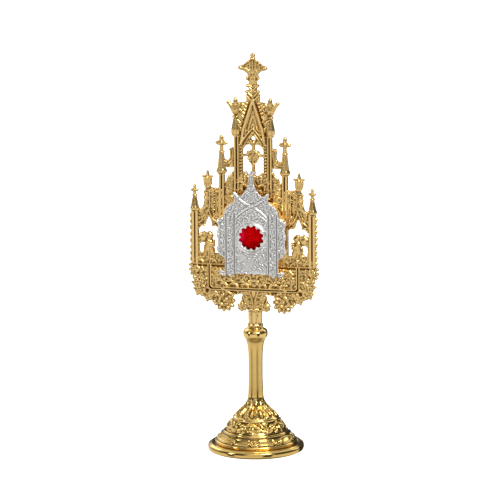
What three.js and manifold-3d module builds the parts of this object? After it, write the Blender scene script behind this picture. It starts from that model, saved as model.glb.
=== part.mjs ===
// A Gothic table reliquary in gilt brass: a round foot with a fluted stem and knop, an openwork
// church front on a socket, and a silvered case with a round toothed window over red cloth.
// Millimetres. +Z is up, the front looks along -Y, and the origin is under the middle of the foot.
import * as THREE from "three";
import { mergeVertices } from "three/addons/utils/BufferGeometryUtils.js";
import Module from "manifold-3d";

const wasm = await Module();
wasm.setup();

// ---- driving dimensions ----
const HEIGHT = 230; // floor to the tip of the top cross
const FOOT_R = 27.4; // widest radius of the foot
const FOOT_SIDES = 24;
const FLUTES = 12; // lancet flutes round the flare of the stem
const SCROLLS = 10; // running scrolls round the upper band
const PLAQUES = 10; // plaques round the lower band
const STEM_R = 3.8;
const STEM_TOP = 71.2; // where the socket of the front sits on the knop
const GAP = 0.3; // between neighbouring pieces

const WEB_BACK = -1.4; // the flat back of the front plate
const WEB_FRONT = -3.4; // the face of its web
const FIELD_FRONT = -3.9; // low relief on the web
const RAISED_FRONT = -4.6; // pillars, shelf and mouldings
const MIDDLE = -3; // the plane that spires and finials are centred on

const CASE_BACK = WEB_FRONT - GAP;
const CASE_FRONT = -8.2;
const CASE_WALL = 1;
const SILVER_BACK = CASE_FRONT - GAP;
const SILVER_FRONT = SILVER_BACK - 0.9;
const WINDOW_Z = 124.8; // height of the round window
const WINDOW_R = 7.5; // clear radius inside the bezel
const TEETH = 12;

// ---- solids: closed three.js geometries, joined and cut ----

/** A closed geometry as a manifold solid. */
function solidOf(geometry) {
  const bare = geometry.index ? geometry.toNonIndexed() : geometry.clone();
  for (const name of Object.keys(bare.attributes)) {
    if (name !== "position") bare.deleteAttribute(name);
  }
  const merged = mergeVertices(bare, 1e-4);
  return new wasm.Manifold(
    new wasm.Mesh({
      numProp: 3,
      vertProperties: merged.attributes.position.array,
      triVerts: new Uint32Array(merged.index.array),
    }),
  );
}

/** A manifold solid as a geometry, with flat faces. */
function geometryOf(solid) {
  const mesh = solid.getMesh();
  const geometry = new THREE.BufferGeometry();
  geometry.setAttribute("position", new THREE.BufferAttribute(mesh.vertProperties, 3));
  geometry.setIndex(new THREE.BufferAttribute(mesh.triVerts, 1));
  geometry.computeVertexNormals();
  return geometry;
}

function joined(geometries) {
  return geometries.map(solidOf).reduce((whole, piece) => whole.add(piece));
}

/** The same geometries on the other side of the middle plane, with their faces turned back out. */
function mirrored(geometries) {
  return geometries.map((geometry) => {
    const copy = geometry.index ? geometry.toNonIndexed() : geometry.clone();
    copy.scale(-1, 1, 1);
    const places = copy.attributes.position;
    for (let i = 0; i < places.count; i += 3) {
      const [x, y, z] = [places.getX(i), places.getY(i), places.getZ(i)];
      places.setXYZ(i, places.getX(i + 1), places.getY(i + 1), places.getZ(i + 1));
      places.setXYZ(i + 1, x, y, z);
    }
    return copy;
  });
}

const bothSides = (geometries) => [...geometries, ...mirrored(geometries)];

// ---- shapes seen from the front: x across, z up ----

/** A slab with this front outline, from the back plane forwards to the front plane. */
function slab(shape, back = WEB_BACK, front = WEB_FRONT, curveSegments = 4) {
  const geometry = new THREE.ExtrudeGeometry(shape, {
    depth: back - front,
    bevelEnabled: false,
    curveSegments,
  });
  return geometry.rotateX(Math.PI / 2).translate(0, back, 0);
}

const polygon = (points) => new THREE.Shape(points.map(([x, z]) => new THREE.Vector2(x, z)));

const box = (x0, x1, z0, z1, back, front) =>
  slab(polygon([[x0, z0], [x1, z0], [x1, z1], [x0, z1]]), back, front);

/** A straight moulding of this width between two points. */
function moulding(from, to, width, front = RAISED_FRONT, back = WEB_BACK) {
  const [a, b] = [new THREE.Vector2(...from), new THREE.Vector2(...to)];
  const along = b.clone().sub(a).normalize();
  const side = new THREE.Vector2(-along.y, along.x).multiplyScalar(width / 2);
  const corners = [a.clone().add(side), a.clone().sub(side), b.clone().sub(side), b.clone().add(side)];
  return slab(new THREE.Shape(corners), back, front);
}

/** A moulding that follows a row of points. */
function mouldings(points, width, front, back) {
  return points.slice(1).map((point, i) => moulding(points[i], point, width, front, back));
}

/** A flat leaf or disc with a scalloped edge; lobes 0 makes it plain. */
function rosette(x, z, radius, { lobes = 0, depth = 0.16, turn = 0, back, front } = {}) {
  const steps = lobes ? lobes * 2 : 8;
  const points = Array.from({ length: steps }, (_, i) => {
    const angle = turn + (i / steps) * 2 * Math.PI;
    const reach = radius * (lobes && i % 2 ? 1 - depth : 1);
    return [x + reach * Math.cos(angle), z + reach * Math.sin(angle)];
  });
  return slab(polygon(points), back, front);
}

/** An egg-shaped lump, such as a bud, a knuckle of leaf or a limb. */
function lump(x, z, rx, rz, { y = MIDDLE, ry = rx, lean = 0, rings = 3 } = {}) {
  return new THREE.SphereGeometry(1, 6, rings)
    .scale(rx, rz, ry)
    .rotateX(Math.PI / 2)
    .rotateY(lean)
    .translate(x, y, z);
}

/** A small pointed leaf or crocket. */
const leaf = (x, z, rx, rz, options = {}) => lump(x, z, rx, rz, { ry: 1.1, rings: 2, ...options });

/** A four-sided stretch standing with a face to the front: half width and height, bottom to top. */
function steeple(x, profile, deep = 0.8) {
  const points = profile.map(([half, z]) => new THREE.Vector2(half * Math.SQRT2, z));
  return new THREE.LatheGeometry(points, 4)
    .rotateY(Math.PI / 4)
    .scale(1, 1, deep)
    .rotateX(Math.PI / 2)
    .translate(x, MIDDLE, 0);
}

// ---- pinnacles ----

/** Eave, spire, ring and a cross of four pointed leaves. */
function crossedPinnacle({ x, eave, half, ring, ringHalf, arms, span, tip }) {
  const profile = [
    [0, eave - 2], [half * 0.6, eave - 2], [half, eave - 0.3], [half * 0.78, eave + 1.4],
    [ringHalf * 0.6, ring - 0.9], [ringHalf, ring], [0.8, ring + 0.9], [0.8, arms], [0, arms],
  ];
  return [
    steeple(x, profile),
    leaf(x, (arms + tip) / 2 - 0.4, 1.3, (tip - arms) / 2 + 0.4),
    leaf(x, arms, span, 1.4, { ry: 1.3 }),
  ];
}

const OUTER_X = 34;
const WING_X = 26.4;
const TALL_X = 18.3;
const TOWER_X = 10.1;

function outerPinnacle() {
  const [x, ring, arms] = [OUTER_X, 146.9, 149.9];
  return [
    box(x - 1.7, x + 1.9, 106, 139, WEB_BACK, RAISED_FRONT),
    ...crossedPinnacle({ x, eave: 139.4, half: 2.6, ring, ringHalf: 1.6, arms, span: 2.5, tip: 153.6 }),
  ];
}

/** A closed tulip on a thin neck, with two prongs and a pointed bud. */
function wingPinnacle() {
  const profile = [
    [0, 149.6], [1.3, 149.6], [1.3, 151.6], [2.4, 157], [1.2, 157.8], [0.3, 162], [0, 162],
  ];
  return [steeple(WING_X, profile), leaf(WING_X, 157.5, 2.9, 0.9)];
}

function tallPinnacle() {
  const [x, ring, arms] = [TALL_X, 172.4, 177.6];
  return [
    box(x - 1.5, x + 1.5, 134, 160.6, WEB_BACK, RAISED_FRONT),
    ...crossedPinnacle({ x, eave: 161.2, half: 3, ring, ringHalf: 1.8, arms, span: 3.7, tip: 182.6 }),
  ];
}

/** A spire with a lily: a cup, a tall pointed petal and one petal that bends outwards. */
function towerPinnacle() {
  const x = TOWER_X;
  const profile = [
    [0, 181.6], [1.5, 181.6], [2.4, 183.4], [1.9, 185.2], [1.1, 191.9],
    [2, 193.2], [0.9, 194.2], [2.4, 197], [1.5, 200.4], [0.4, 204.8], [0, 204.8],
  ];
  return [
    steeple(x, profile),
    leaf(x + 2.7, 199.4, 1, 2.6, { lean: 0.8 }),
    leaf(x - 1.6, 198.6, 1, 2.4, { lean: -0.6 }),
  ];
}

// ---- the tower over the case ----

const TOWER_HALF = 10.9;
const WINDOW_HALF = 6; // the tower's own arched opening
const SPRING = 173.6; // where its arch starts
const ARCH_TOP = 183.4;

/** A pointed arch over a straight-sided opening; rise over half width sets its radius. */
function lancet(half, sill, spring, top) {
  const rise = top - spring;
  const radius = (rise * rise + half * half) / (2 * half);
  const shape = new THREE.Shape();
  shape.moveTo(-half, sill);
  shape.lineTo(half, sill);
  shape.lineTo(half, spring);
  const sweep = Math.asin(rise / radius);
  shape.absarc(half - radius, spring, radius, 0, sweep, false);
  shape.absarc(radius - half, spring, radius, Math.PI - sweep, Math.PI, false);
  return shape;
}

/** The lights of the tower window: an eye, two lobes and two panels round a quatrefoil. */
function towerLights() {
  const deep = { back: 0, front: -8 };
  const right = [
    slab(polygon([[1.1, 171.6], [1.3, 177], [2.6, 177], [5.9, 173.8], [6, 171], [3.4, 170.2]]), 0, -8),
    slab(polygon([[1, 159.6], [6, 159.6], [6, 168.8], [3.2, 168.8], [2.6, 166.2], [1, 165.2]]), 0, -8),
  ];
  return [rosette(0, 181, 1.1, deep), ...bothSides(right)];
}

/** Outline of the tower's web, its shoulders and the shaft that carries the cross. */
function towerWeb() {
  const right = [
    [TOWER_HALF, 134], [TOWER_HALF, 184], [8.6, 186], [8.4, 201],
    [6.6, 201.8], [3.8, 201], [3.7, 206.5], [2.2, 207],
    [2, 215], [2.6, 218],
  ];
  const left = right.map(([x, z]) => [-x, z]).reverse();
  return slab(polygon([...right, ...left]));
}

function towerRelief() {
  const right = [
    box(WINDOW_HALF + 0.2, 9.6, 148, 183, WEB_BACK, RAISED_FRONT),
    box(10.1, TOWER_HALF, 148, 183, WEB_BACK, FIELD_FRONT),
    ...mouldings([[0, 203], [5.4, 186.4], [6.6, 178]], 1.1),
    ...mouldings([[0, 203.6], [3.3, 207.6]], 1, FIELD_FRONT),
    leaf(2.7, 211.6, 1.5, 1.2),
    leaf(3, 208.2, 1.6, 1.3),
    leaf(2.6, 216, 1.5, 1.1),
    leaf(6.6, 200.8, 2.2, 1.6, { ry: 1.6 }),
  ];
  const hood = lancet(7.2, SPRING - 1, SPRING, 186.6);
  hood.holes.push(lancet(WINDOW_HALF, SPRING - 0.9, SPRING - 0.8, ARCH_TOP));
  const tracery = [
    rosette(0, 168.6, 3.2, { lobes: 4, depth: 0.3, front: FIELD_FRONT }),
    box(-0.9, 0.9, 158, 180, WEB_BACK, FIELD_FRONT),
    ...bothSides(mouldings([[0, 173.2], [2.6, 171], [6.4, 170.3]], 1.1, FIELD_FRONT)),
  ];
  return [...bothSides(right), slab(hood, WEB_BACK, FIELD_FRONT, 6), ...tracery];
}

/** The great cross on the tower, with budded ends. */
function topCross() {
  const right = [
    slab(polygon([
      [0, 216], [2, 217.6], [5, 219.4], [7.4, 220.2],
      [7.4, 222], [5.4, 222.6], [3, 224.2], [0, 226.4],
    ])),
    lump(7.3, 221.2, 1.4, 1.25),
  ];
  return [
    ...bothSides(right),
    box(-2.1, 2.1, 206, 218, WEB_BACK, RAISED_FRONT),
    lump(0, 227.2, 1.9, 1.4),
    lump(0, HEIGHT - 1.5, 1.4, 1.5),
  ];
}

// ---- the wings beside the tower ----

/** Web of one wing: buttresses, the leafy wall and the arch head over the figure. */
function wingWeb() {
  return [
    slab(
      polygon([
        [10.4, 175], [13.2, 174.7], [14.6, 173.4], [13.5, 170.4], [14.6, 167.4],
        [17, 168.6], [17, 164.4], [14.6, 164.2], [10.4, 163.6],
      ]),
    ),
    slab(
      polygon([
        [10.4, 162.4], [11.8, 159.8], [14.2, 157.6], [15.4, 154.8], [17, 153.8],
        [17, 133], [10.4, 133],
      ]),
    ),
    slab(
      polygon([
        [17, 151], [25, 151.2], [28.2, 150.2], [28.6, 147], [29, 143.6],
        [29.8, 140.2], [32.8, 139.6], [32.8, 128], [31.2, 129.6], [29.4, 130.2],
        [28.6, 129.6], [27.8, 131], [26.2, 135.4], [24.8, 131.4], [24, 129.6],
        [22.8, 130.6], [20.4, 130], [17, 128],
      ]),
    ),
  ];
}

function wingRelief() {
  const crockets = [149.6, 146.2, 142.8].map((z) => leaf(28.6, z, 1.1, 1.3));
  const parapet = [19.8, 22.8].map((x) => leaf(x, 151.2, 1.3, 1));
  const panel = moulding([23.4, 138], [23.4, 149.6], 1.4, FIELD_FRONT);
  const gable = mouldings([[21.2, 131.4], [24.2, 134.6], [26.2, 140.4], [28.4, 134.6], [31.4, 131.4]], 0.9);
  const leaves = [133.4, 128.6, 123.8, 119, 114.2].map((z) => leaf(36, z, 1.4, 2.7));
  return [
    ...crockets, ...parapet, panel, ...gable, ...leaves,
    leaf(13.8, 173.6, 1.3, 1.3),
    leaf(14.8, 156.8, 1.3, 1.2),
  ];
}

/** A winged figure kneeling towards the case, its wing resting on the outer pillar. */
function kneelingFigure() {
  const robe = polygon([
    [21.4, 113.4], [21.8, 116.4], [23.2, 118.4], [23, 121.4], [25, 122.4],
    [27.4, 121.4], [27.8, 117], [29.6, 113.4],
  ]);
  return [
    slab(robe, WEB_BACK, FIELD_FRONT),
    lump(24.5, 123.8, 1.8, 2.1, { ry: 1.6, rings: 4 }), // head
    lump(25.4, 119.8, 2.3, 2.7, { ry: 1.6, rings: 4 }), // shoulders and chest
    lump(22.6, 118.9, 1.5, 0.9, { ry: 1.2, lean: 0.3 }), // joined hands
    lump(23.6, 114.6, 2.6, 1.7, { ry: 1.6 }), // knees
    lump(27.2, 115.2, 2.4, 2.2, { ry: 1.6 }), // folds of the robe
    lump(28.9, 122.6, 1.7, 4, { ry: 1.1, lean: 0.35 }), // wing
    lump(31.2, 120.8, 1.8, 2.6, { ry: 1 }), // where the wing meets the pillar
  ];
}

// ---- shelf and bracket ----

const SHELF_Z = 107.6;
const FRAME_X = 25.9;
const FRAME_Z = 94.4;
const CURL = { x: 17.4, z: 87, r: 5.2 };

function bracketWeb() {
  const right = [
    [0, 82], [3.6, 82.6], [4.2, 84.6], [5.4, 87], [7.6, 88.4],
    [8.8, 89.6], [10.4, 91.4], [12, 90.4], [12.6, 88],
  ];
  const edge = [
    [22.6, 85.4], [24.4, 86.4], [25.4, 88.4], [28, 88], [30, 89.6],
    [32.4, 90.2], [33.2, 92.6], [31.4, 94.8], [32, 97.4], [33.6, 98.6],
    [35.6, 100.4], [36.4, 103], [37.2, 105], [37.4, 107], [35.8, 108], [0, 108],
  ];
  return [
    slab(polygon([...right, ...edge])),
    box(0, 22, 100, 136, WEB_BACK, WEB_FRONT),
    rosette(CURL.x, CURL.z, CURL.r + 1, { lobes: 11, depth: 0.17, turn: 0.3 }),
  ];
}

function bracketRelief() {
  const tips = [
    [36.8, 107], [36.6, 102.6], [33.4, 98.6], [32.8, 91.6], [28.6, 88.8], [24.6, 87],
  ].map(([x, z]) => leaf(x, z, 1.5, 1.3, { ry: 1.3 }));
  const scrolls = [4.2, 11.6, 19].map((x) => [
    leaf(x + 2, 98.8, 2.2, 2.2, { ry: 1.5 }),
    leaf(x + 5.4, 99.8, 2, 1.2, { ry: 1.6, lean: 0.5 }),
  ]);
  return [
    ...tips,
    ...scrolls.flat(),
    box(17.6, 35.8, SHELF_Z - 0.9, SHELF_Z + 0.9, WEB_BACK, RAISED_FRONT - 0.4),
    box(19.6, 32.6, SHELF_Z, 113.6, WEB_BACK, FIELD_FRONT),
    moulding([FRAME_X, FRAME_Z], [FRAME_X, SHELF_Z], 1.2),
    moulding([0, FRAME_Z], [FRAME_X + 0.6, FRAME_Z], 1.4),
    lump(CURL.x, CURL.z, 2.8, 2.8, { ry: 1.6 }),
    leaf(30.4, 92, 2.8, 1.9, { ry: 1.6, lean: -0.5 }),
    leaf(31.6, 101.6, 2.9, 3.8, { ry: 1.6 }),
    leaf(24.2, 90.2, 3.6, 1.8, { ry: 1.6, lean: -0.4 }),
    lump(7.6, 84.6, 2.9, 2.9, { ry: 1.6 }), // volute beside the socket
    leaf(5.6, 89.4, 1.7, 4.2, { ry: 1.6, lean: -0.45 }),
  ];
}

/** The socket under the bracket: a capital of upright leaves over a short round neck. */
function socket() {
  const profile = [
    [0, STEM_TOP + GAP], [4.4, STEM_TOP + GAP], [4.4, 72.8], [3.7, 73.8],
    [3.9, 80.6], [4.4, 81.2], [4.4, 82.4], [3.7, 83.2], [4.6, 93.4], [0, 93.4],
  ].map(([r, z]) => new THREE.Vector2(r, z));
  const leaves = [-2.2, 0, 2.2].map((x) =>
    leaf(x, 88, 1, 5.4, { y: -3.9, lean: x * 0.06 }),
  );
  return [new THREE.LatheGeometry(profile, 12).rotateX(Math.PI / 2), ...leaves];
}

function buildFront() {
  const sides = [
    ...outerPinnacle(), ...wingPinnacle(), ...tallPinnacle(), ...towerPinnacle(),
    ...wingWeb(), ...wingRelief(), ...kneelingFigure(), ...bracketWeb(), ...bracketRelief(),
  ];
  const wings = joined(bothSides(sides));
  const tower = joined([towerWeb(), ...topCross()]);
  const middle = joined([...towerRelief(), ...socket()]);
  const seat = solidOf(slab(caseShape(0.5 - GAP), WEB_FRONT, CASE_FRONT)); // flat where the case lies
  return wings.add(tower).subtract(joined(towerLights())).add(middle).subtract(seat);
}

// ---- foot ----

/** Radius and height down the outside of the foot, from the knop to the floor. */
const KNOP = [
  [0, STEM_TOP], [4.4, STEM_TOP], [4.9, 70], [6.8, 68.4], [6.8, 66.4],
  [4.2, 62.8], [STEM_R, 60.4],
];
const FLARE = [
  [STEM_R, 34], [4.5, 30], [6.2, 26.8], [10.2, 23.4], [12, 20.4],
];
const BANDS = [
  [12.6, 19.3], [13.5, 18.9], [13.6, 18.1], [17.6, 11.4], [18.6, 10.8],
  [20.8, 7.4], [23.2, 5.4], [23.2, 4.4],
];
const RIM = [
  [26.6, 3.9], [27.3, 3.1], [FOOT_R, 1.4], [26.9, 0],
];

/** A pointed hollow for one flute, leaning with the flare. */
function flute(angle) {
  return new THREE.SphereGeometry(1, 4, 4)
    .scale(1.9, 5.4, 1.4)
    .translate(0, 0.6, 0)
    .rotateX(-0.85)
    .translate(0, 23.9, 9.7)
    .rotateX(Math.PI / 2)
    .rotateZ(angle);
}

/** One turn of the running scroll: a leaf rising and a leaf falling on the sloping upper band. */
function scroll(angle) {
  const slope = Math.atan2(11.4 - 18.1, 17.6 - 13.6);
  return [-1, 1].map((side) =>
    new THREE.SphereGeometry(1, 6, 2)
      .scale(0.9, 2.9, 0.9)
      .rotateZ(side * 0.9)
      .translate(side * 2.3, 0, 0)
      .rotateX(Math.PI / 2 + slope)
      .rotateX(Math.PI / 2)
      .translate(0, -15.7, 14.8)
      .rotateZ(angle),
  );
}

/** A raised plaque on the sloping lower band. */
function plaque(angle) {
  return new THREE.BoxGeometry(7.6, 3, 1.4)
    .rotateX(-0.8)
    .translate(0, 7.9, 20.2)
    .rotateX(Math.PI / 2)
    .rotateZ(angle);
}

const around = (count, make) =>
  Array.from({ length: count }, (_, i) => make(((i + 0.5) / count) * 2 * Math.PI)).flat();

function buildFoot() {
  const outside = [...KNOP, ...FLARE, ...BANDS, ...RIM].map(([r, z]) => new THREE.Vector2(r, z));
  const profile = [...outside, new THREE.Vector2(0, 0)].reverse();
  const body = new THREE.LatheGeometry(profile, FOOT_SIDES).rotateX(Math.PI / 2);
  const hollow = [[0, -1], [24.6, -1], [24.6, 1.4], [20.2, 4.6], [11.4, 14.6], [0, 17.4]];
  const under = new THREE.LatheGeometry(
    hollow.map(([r, z]) => new THREE.Vector2(r, z)),
    FOOT_SIDES,
  ).rotateX(Math.PI / 2);
  return solidOf(body)
    .add(joined([...around(SCROLLS, scroll), ...around(PLAQUES, plaque)]))
    .subtract(joined(around(FLUTES, flute)))
    .subtract(solidOf(under));
}

// ---- the case and its window ----

/** Front outline of the case; margin draws it in, and the silver front adds its own leaves. */
function caseShape(margin = 0) {
  const [body, ear] = [15.7 - margin, 20 - margin];
  const shape = new THREE.Shape();
  shape.moveTo(-body, 103.8 + margin);
  shape.lineTo(body, 103.8 + margin);
  shape.lineTo(body, 113.4 + margin);
  shape.quadraticCurveTo(ear, 114.4 + margin, ear, 117.6 + margin);
  shape.lineTo(ear, 133.6 - margin);
  shape.quadraticCurveTo(ear - 0.2, 137.4 - margin, 17.2 - margin, 137.8 - margin);
  shape.quadraticCurveTo(17 - margin, 143.4 - margin, 9.6 - margin, 146.6 - margin);
  shape.lineTo(margin - 9.6, 146.6 - margin);
  shape.quadraticCurveTo(margin - 17, 143.4 - margin, margin - 17.2, 137.8 - margin);
  shape.quadraticCurveTo(0.2 - ear, 137.4 - margin, -ear, 133.6 - margin);
  shape.lineTo(-ear, 117.6 + margin);
  shape.quadraticCurveTo(-ear, 114.4 + margin, -body, 113.4 + margin);
  return shape;
}

function buildCase() {
  const block = slab(caseShape(0.5), CASE_BACK, CASE_FRONT);
  const cavity = slab(caseShape(0.5 + CASE_WALL), CASE_BACK - CASE_WALL, CASE_FRONT - 1);
  return solidOf(block).subtract(solidOf(cavity));
}

/** Leaves, corner feet, ogee top and finial that the silver front has beyond the case. */
function silverEdge() {
  const across = (x, z, rx, rz, lean = 0) =>
    leaf(x, z, rx, rz, { y: (SILVER_BACK + SILVER_FRONT) / 2, ry: 0.45, lean });
  return [
    across(16, 103.4, 2.3, 1.6), across(13, 103.2, 1.2, 1.3),
    across(19.4, 118.6, 1.2, 1.9), across(19.6, 125.4, 1, 2), across(19.4, 132.6, 1.2, 1.9),
    across(8.6, 148, 3.4, 1.6, 0.7),
    across(2.4, 162.4, 2.2, 0.7, -0.5), across(3.4, 101.9 + 1.6, 2, 0.7), across(8.4, 103.4, 2, 0.7),
  ];
}

function buildSilverFront() {
  const ogee = polygon([
    [-9.6, 146.4], [9.6, 146.4], [7, 148.6], [4.6, 150.8], [2.8, 153.4],
    [1.7, 156.2], [1.2, 158.4], [1.7, 161], [0.9, 162.2], [0, 163.2],
    [-0.9, 162.2], [-1.7, 161], [-1.2, 158.4], [-1.7, 156.2], [-2.8, 153.4],
    [-4.6, 150.8], [-7, 148.6],
  ]);
  const relief = [
    ...mouldings([[10, 104.4], [10, 138.6], [0, 144.2]], 0.7, SILVER_FRONT - 0.5, SILVER_BACK),
    ...mouldings([[15.2, 104.4], [15.2, 138]], 0.7, SILVER_FRONT - 0.5, SILVER_BACK),
  ];
  const plate = [slab(caseShape(), SILVER_BACK, SILVER_FRONT), slab(ogee, SILVER_BACK, SILVER_FRONT)];
  const hole = disc(WINDOW_R + 1 + GAP, SILVER_BACK + 1, SILVER_FRONT - 2);
  return joined([...plate, ...bothSides([...relief, ...silverEdge()])]).subtract(solidOf(hole));
}

/** A round disc behind or in front of the window, between two planes. */
function disc(radius, back, front, sides = 16) {
  return new THREE.CylinderGeometry(radius, radius, back - front, sides).translate(
    0, (back + front) / 2, WINDOW_Z,
  );
}

const GLASS_BACK = SILVER_FRONT + 0.3;
const GLASS_FRONT = GLASS_BACK - 0.7;
const BEZEL_FRONT = GLASS_FRONT - GAP - 0.5;

/** A ring round the glass whose pointed teeth fold in over its edge. */
function buildBezel() {
  const wall = solidOf(disc(WINDOW_R + 1, SILVER_BACK + 1.6, BEZEL_FRONT)).subtract(
    solidOf(disc(WINDOW_R + 0.2, SILVER_BACK + 2, BEZEL_FRONT - 1)),
  );
  const flange = solidOf(disc(WINDOW_R + 2, SILVER_FRONT - GAP, SILVER_FRONT - GAP - 0.5)).subtract(
    solidOf(disc(WINDOW_R + 0.6, SILVER_FRONT, SILVER_FRONT - 2)),
  );
  const star = Array.from({ length: TEETH * 2 }, (_, i) => {
    const angle = (i / TEETH) * Math.PI;
    const reach = i % 2 ? WINDOW_R - 1.4 : WINDOW_R + 0.1;
    return [reach * Math.cos(angle), WINDOW_Z + reach * Math.sin(angle)];
  });
  const teeth = solidOf(disc(WINDOW_R + 0.6, BEZEL_FRONT + 0.5, BEZEL_FRONT)).subtract(
    solidOf(slab(polygon(star), BEZEL_FRONT + 1, BEZEL_FRONT - 1)),
  );
  return wall.add(flange).add(teeth);
}

const buildGlass = () => solidOf(disc(WINDOW_R - 0.1, GLASS_BACK, GLASS_FRONT));

const buildCloth = () =>
  solidOf(disc(WINDOW_R - 0.3, CASE_BACK - CASE_WALL - GAP, GLASS_BACK + GAP));

// ---- the scene graph ----

const gilt = new THREE.MeshStandardMaterial({ color: 0xd9b45b, roughness: 0.32, metalness: 1 });
const giltBright = new THREE.MeshStandardMaterial({ color: 0xe0b64f, roughness: 0.12, metalness: 1 });
const silver = new THREE.MeshStandardMaterial({ color: 0xd6d6d2, roughness: 0.3, metalness: 1 });
const redCloth = new THREE.MeshStandardMaterial({ color: 0xb80010, roughness: 0.85, metalness: 0 });
const clear = new THREE.MeshStandardMaterial({
  color: 0xffffff, roughness: 0.05, metalness: 0, transparent: true, opacity: 0.3,
});

const PIECES = [
  ["foot", buildFoot, giltBright],
  ["front", buildFront, gilt],
  ["case", buildCase, gilt],
  ["silver_front", buildSilverFront, silver],
  ["bezel", buildBezel, silver],
  ["glass", buildGlass, clear],
  ["relic_cloth", buildCloth, redCloth],
];

const reliquary = new THREE.Group();
for (const [name, build, material] of PIECES) {
  const mesh = new THREE.Mesh(geometryOf(build()), material);
  mesh.name = name;
  reliquary.add(mesh);
}

export default reliquary;
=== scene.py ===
"""A small Gothic table reliquary: gilt openwork front on a fluted foot, and a window on red cloth.

Ornament is modelled in millimetres, right half first, then mirrored, scaled to metres and fused
into one skin, as a casting is. Heights and half widths follow the solids in the frame.
"""

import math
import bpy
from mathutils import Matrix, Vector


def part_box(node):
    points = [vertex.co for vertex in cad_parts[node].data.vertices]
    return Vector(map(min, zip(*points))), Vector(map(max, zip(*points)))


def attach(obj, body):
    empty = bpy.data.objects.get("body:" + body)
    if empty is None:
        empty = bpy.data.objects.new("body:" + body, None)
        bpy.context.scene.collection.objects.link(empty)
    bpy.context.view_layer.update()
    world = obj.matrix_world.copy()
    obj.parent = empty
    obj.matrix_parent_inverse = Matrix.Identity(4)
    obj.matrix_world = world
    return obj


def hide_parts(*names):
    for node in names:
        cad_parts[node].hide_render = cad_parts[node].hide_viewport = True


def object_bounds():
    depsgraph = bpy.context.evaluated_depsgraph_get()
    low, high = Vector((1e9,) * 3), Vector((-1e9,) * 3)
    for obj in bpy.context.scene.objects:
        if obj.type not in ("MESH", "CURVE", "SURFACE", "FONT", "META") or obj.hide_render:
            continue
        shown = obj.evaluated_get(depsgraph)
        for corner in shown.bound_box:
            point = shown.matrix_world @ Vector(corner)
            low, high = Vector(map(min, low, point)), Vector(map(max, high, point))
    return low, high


bl_info = {
    "name": "Gothic Reliquary",
    "version": (1, 0, 0),
    "blender": (4, 5, 0),
    "location": "View3D > Sidebar > Reliquary",
    "description": "Dresses the solids of a gilt table reliquary and sets up its studio",
    "category": "Add Mesh",
}

import bmesh
import bpy
import numpy as np
from bpy.props import FloatProperty, FloatVectorProperty, IntProperty, PointerProperty
from mathutils import Matrix, Vector

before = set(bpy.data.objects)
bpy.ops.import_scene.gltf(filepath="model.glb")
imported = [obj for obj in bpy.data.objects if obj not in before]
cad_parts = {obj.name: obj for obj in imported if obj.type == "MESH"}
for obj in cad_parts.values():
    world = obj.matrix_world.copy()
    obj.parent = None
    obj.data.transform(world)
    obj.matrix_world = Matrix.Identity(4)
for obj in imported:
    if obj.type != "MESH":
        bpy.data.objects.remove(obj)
CAD_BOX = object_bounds()
MM = 0.001
GAP = 0.3  # between neighbouring pieces


def reach(node):
    """Lowest and highest corner of a solid, in millimetres."""
    low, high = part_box(node)
    return low / MM, high / MM


FRONT_LOW, FRONT_HIGH = reach("front")
BEZEL_LOW, BEZEL_HIGH = reach("bezel")
FOOT_HIGH, CASE_HIGH, SILVER_HIGH = (reach(node)[1] for node in ("foot", "case", "silver_front"))

WEB = CASE_HIGH.y + GAP  # the face of the front's web; the front looks along -Y
BACK = WEB + 2.0  # its flat back
FIELD = WEB - 0.5  # low relief
RAISED = WEB - 1.2  # pillars and mouldings
MIDDLE = (BACK + RAISED) / 2
TOP = FRONT_HIGH.z
WINDOW_Z = (BEZEL_LOW.z + BEZEL_HIGH.z) / 2


# ---- casting: ornament built from rods, beads, slabs and leaves ----

ROD_SIDES = 8
POUR_AT = 600  # points


def along(start, end, share):
    return start + (end - start) * share


def heading(angle, length):
    """A step in the plane of the front, the angle counted from upright towards +X."""
    return Vector((math.sin(angle) * length, math.cos(angle) * length))


def add_copy(bm, other):
    """Adds the shapes of another bmesh."""
    mesh = bpy.data.meshes.new("part")
    other.to_mesh(mesh)
    bm.from_mesh(mesh)
    bpy.data.meshes.remove(mesh)


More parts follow.
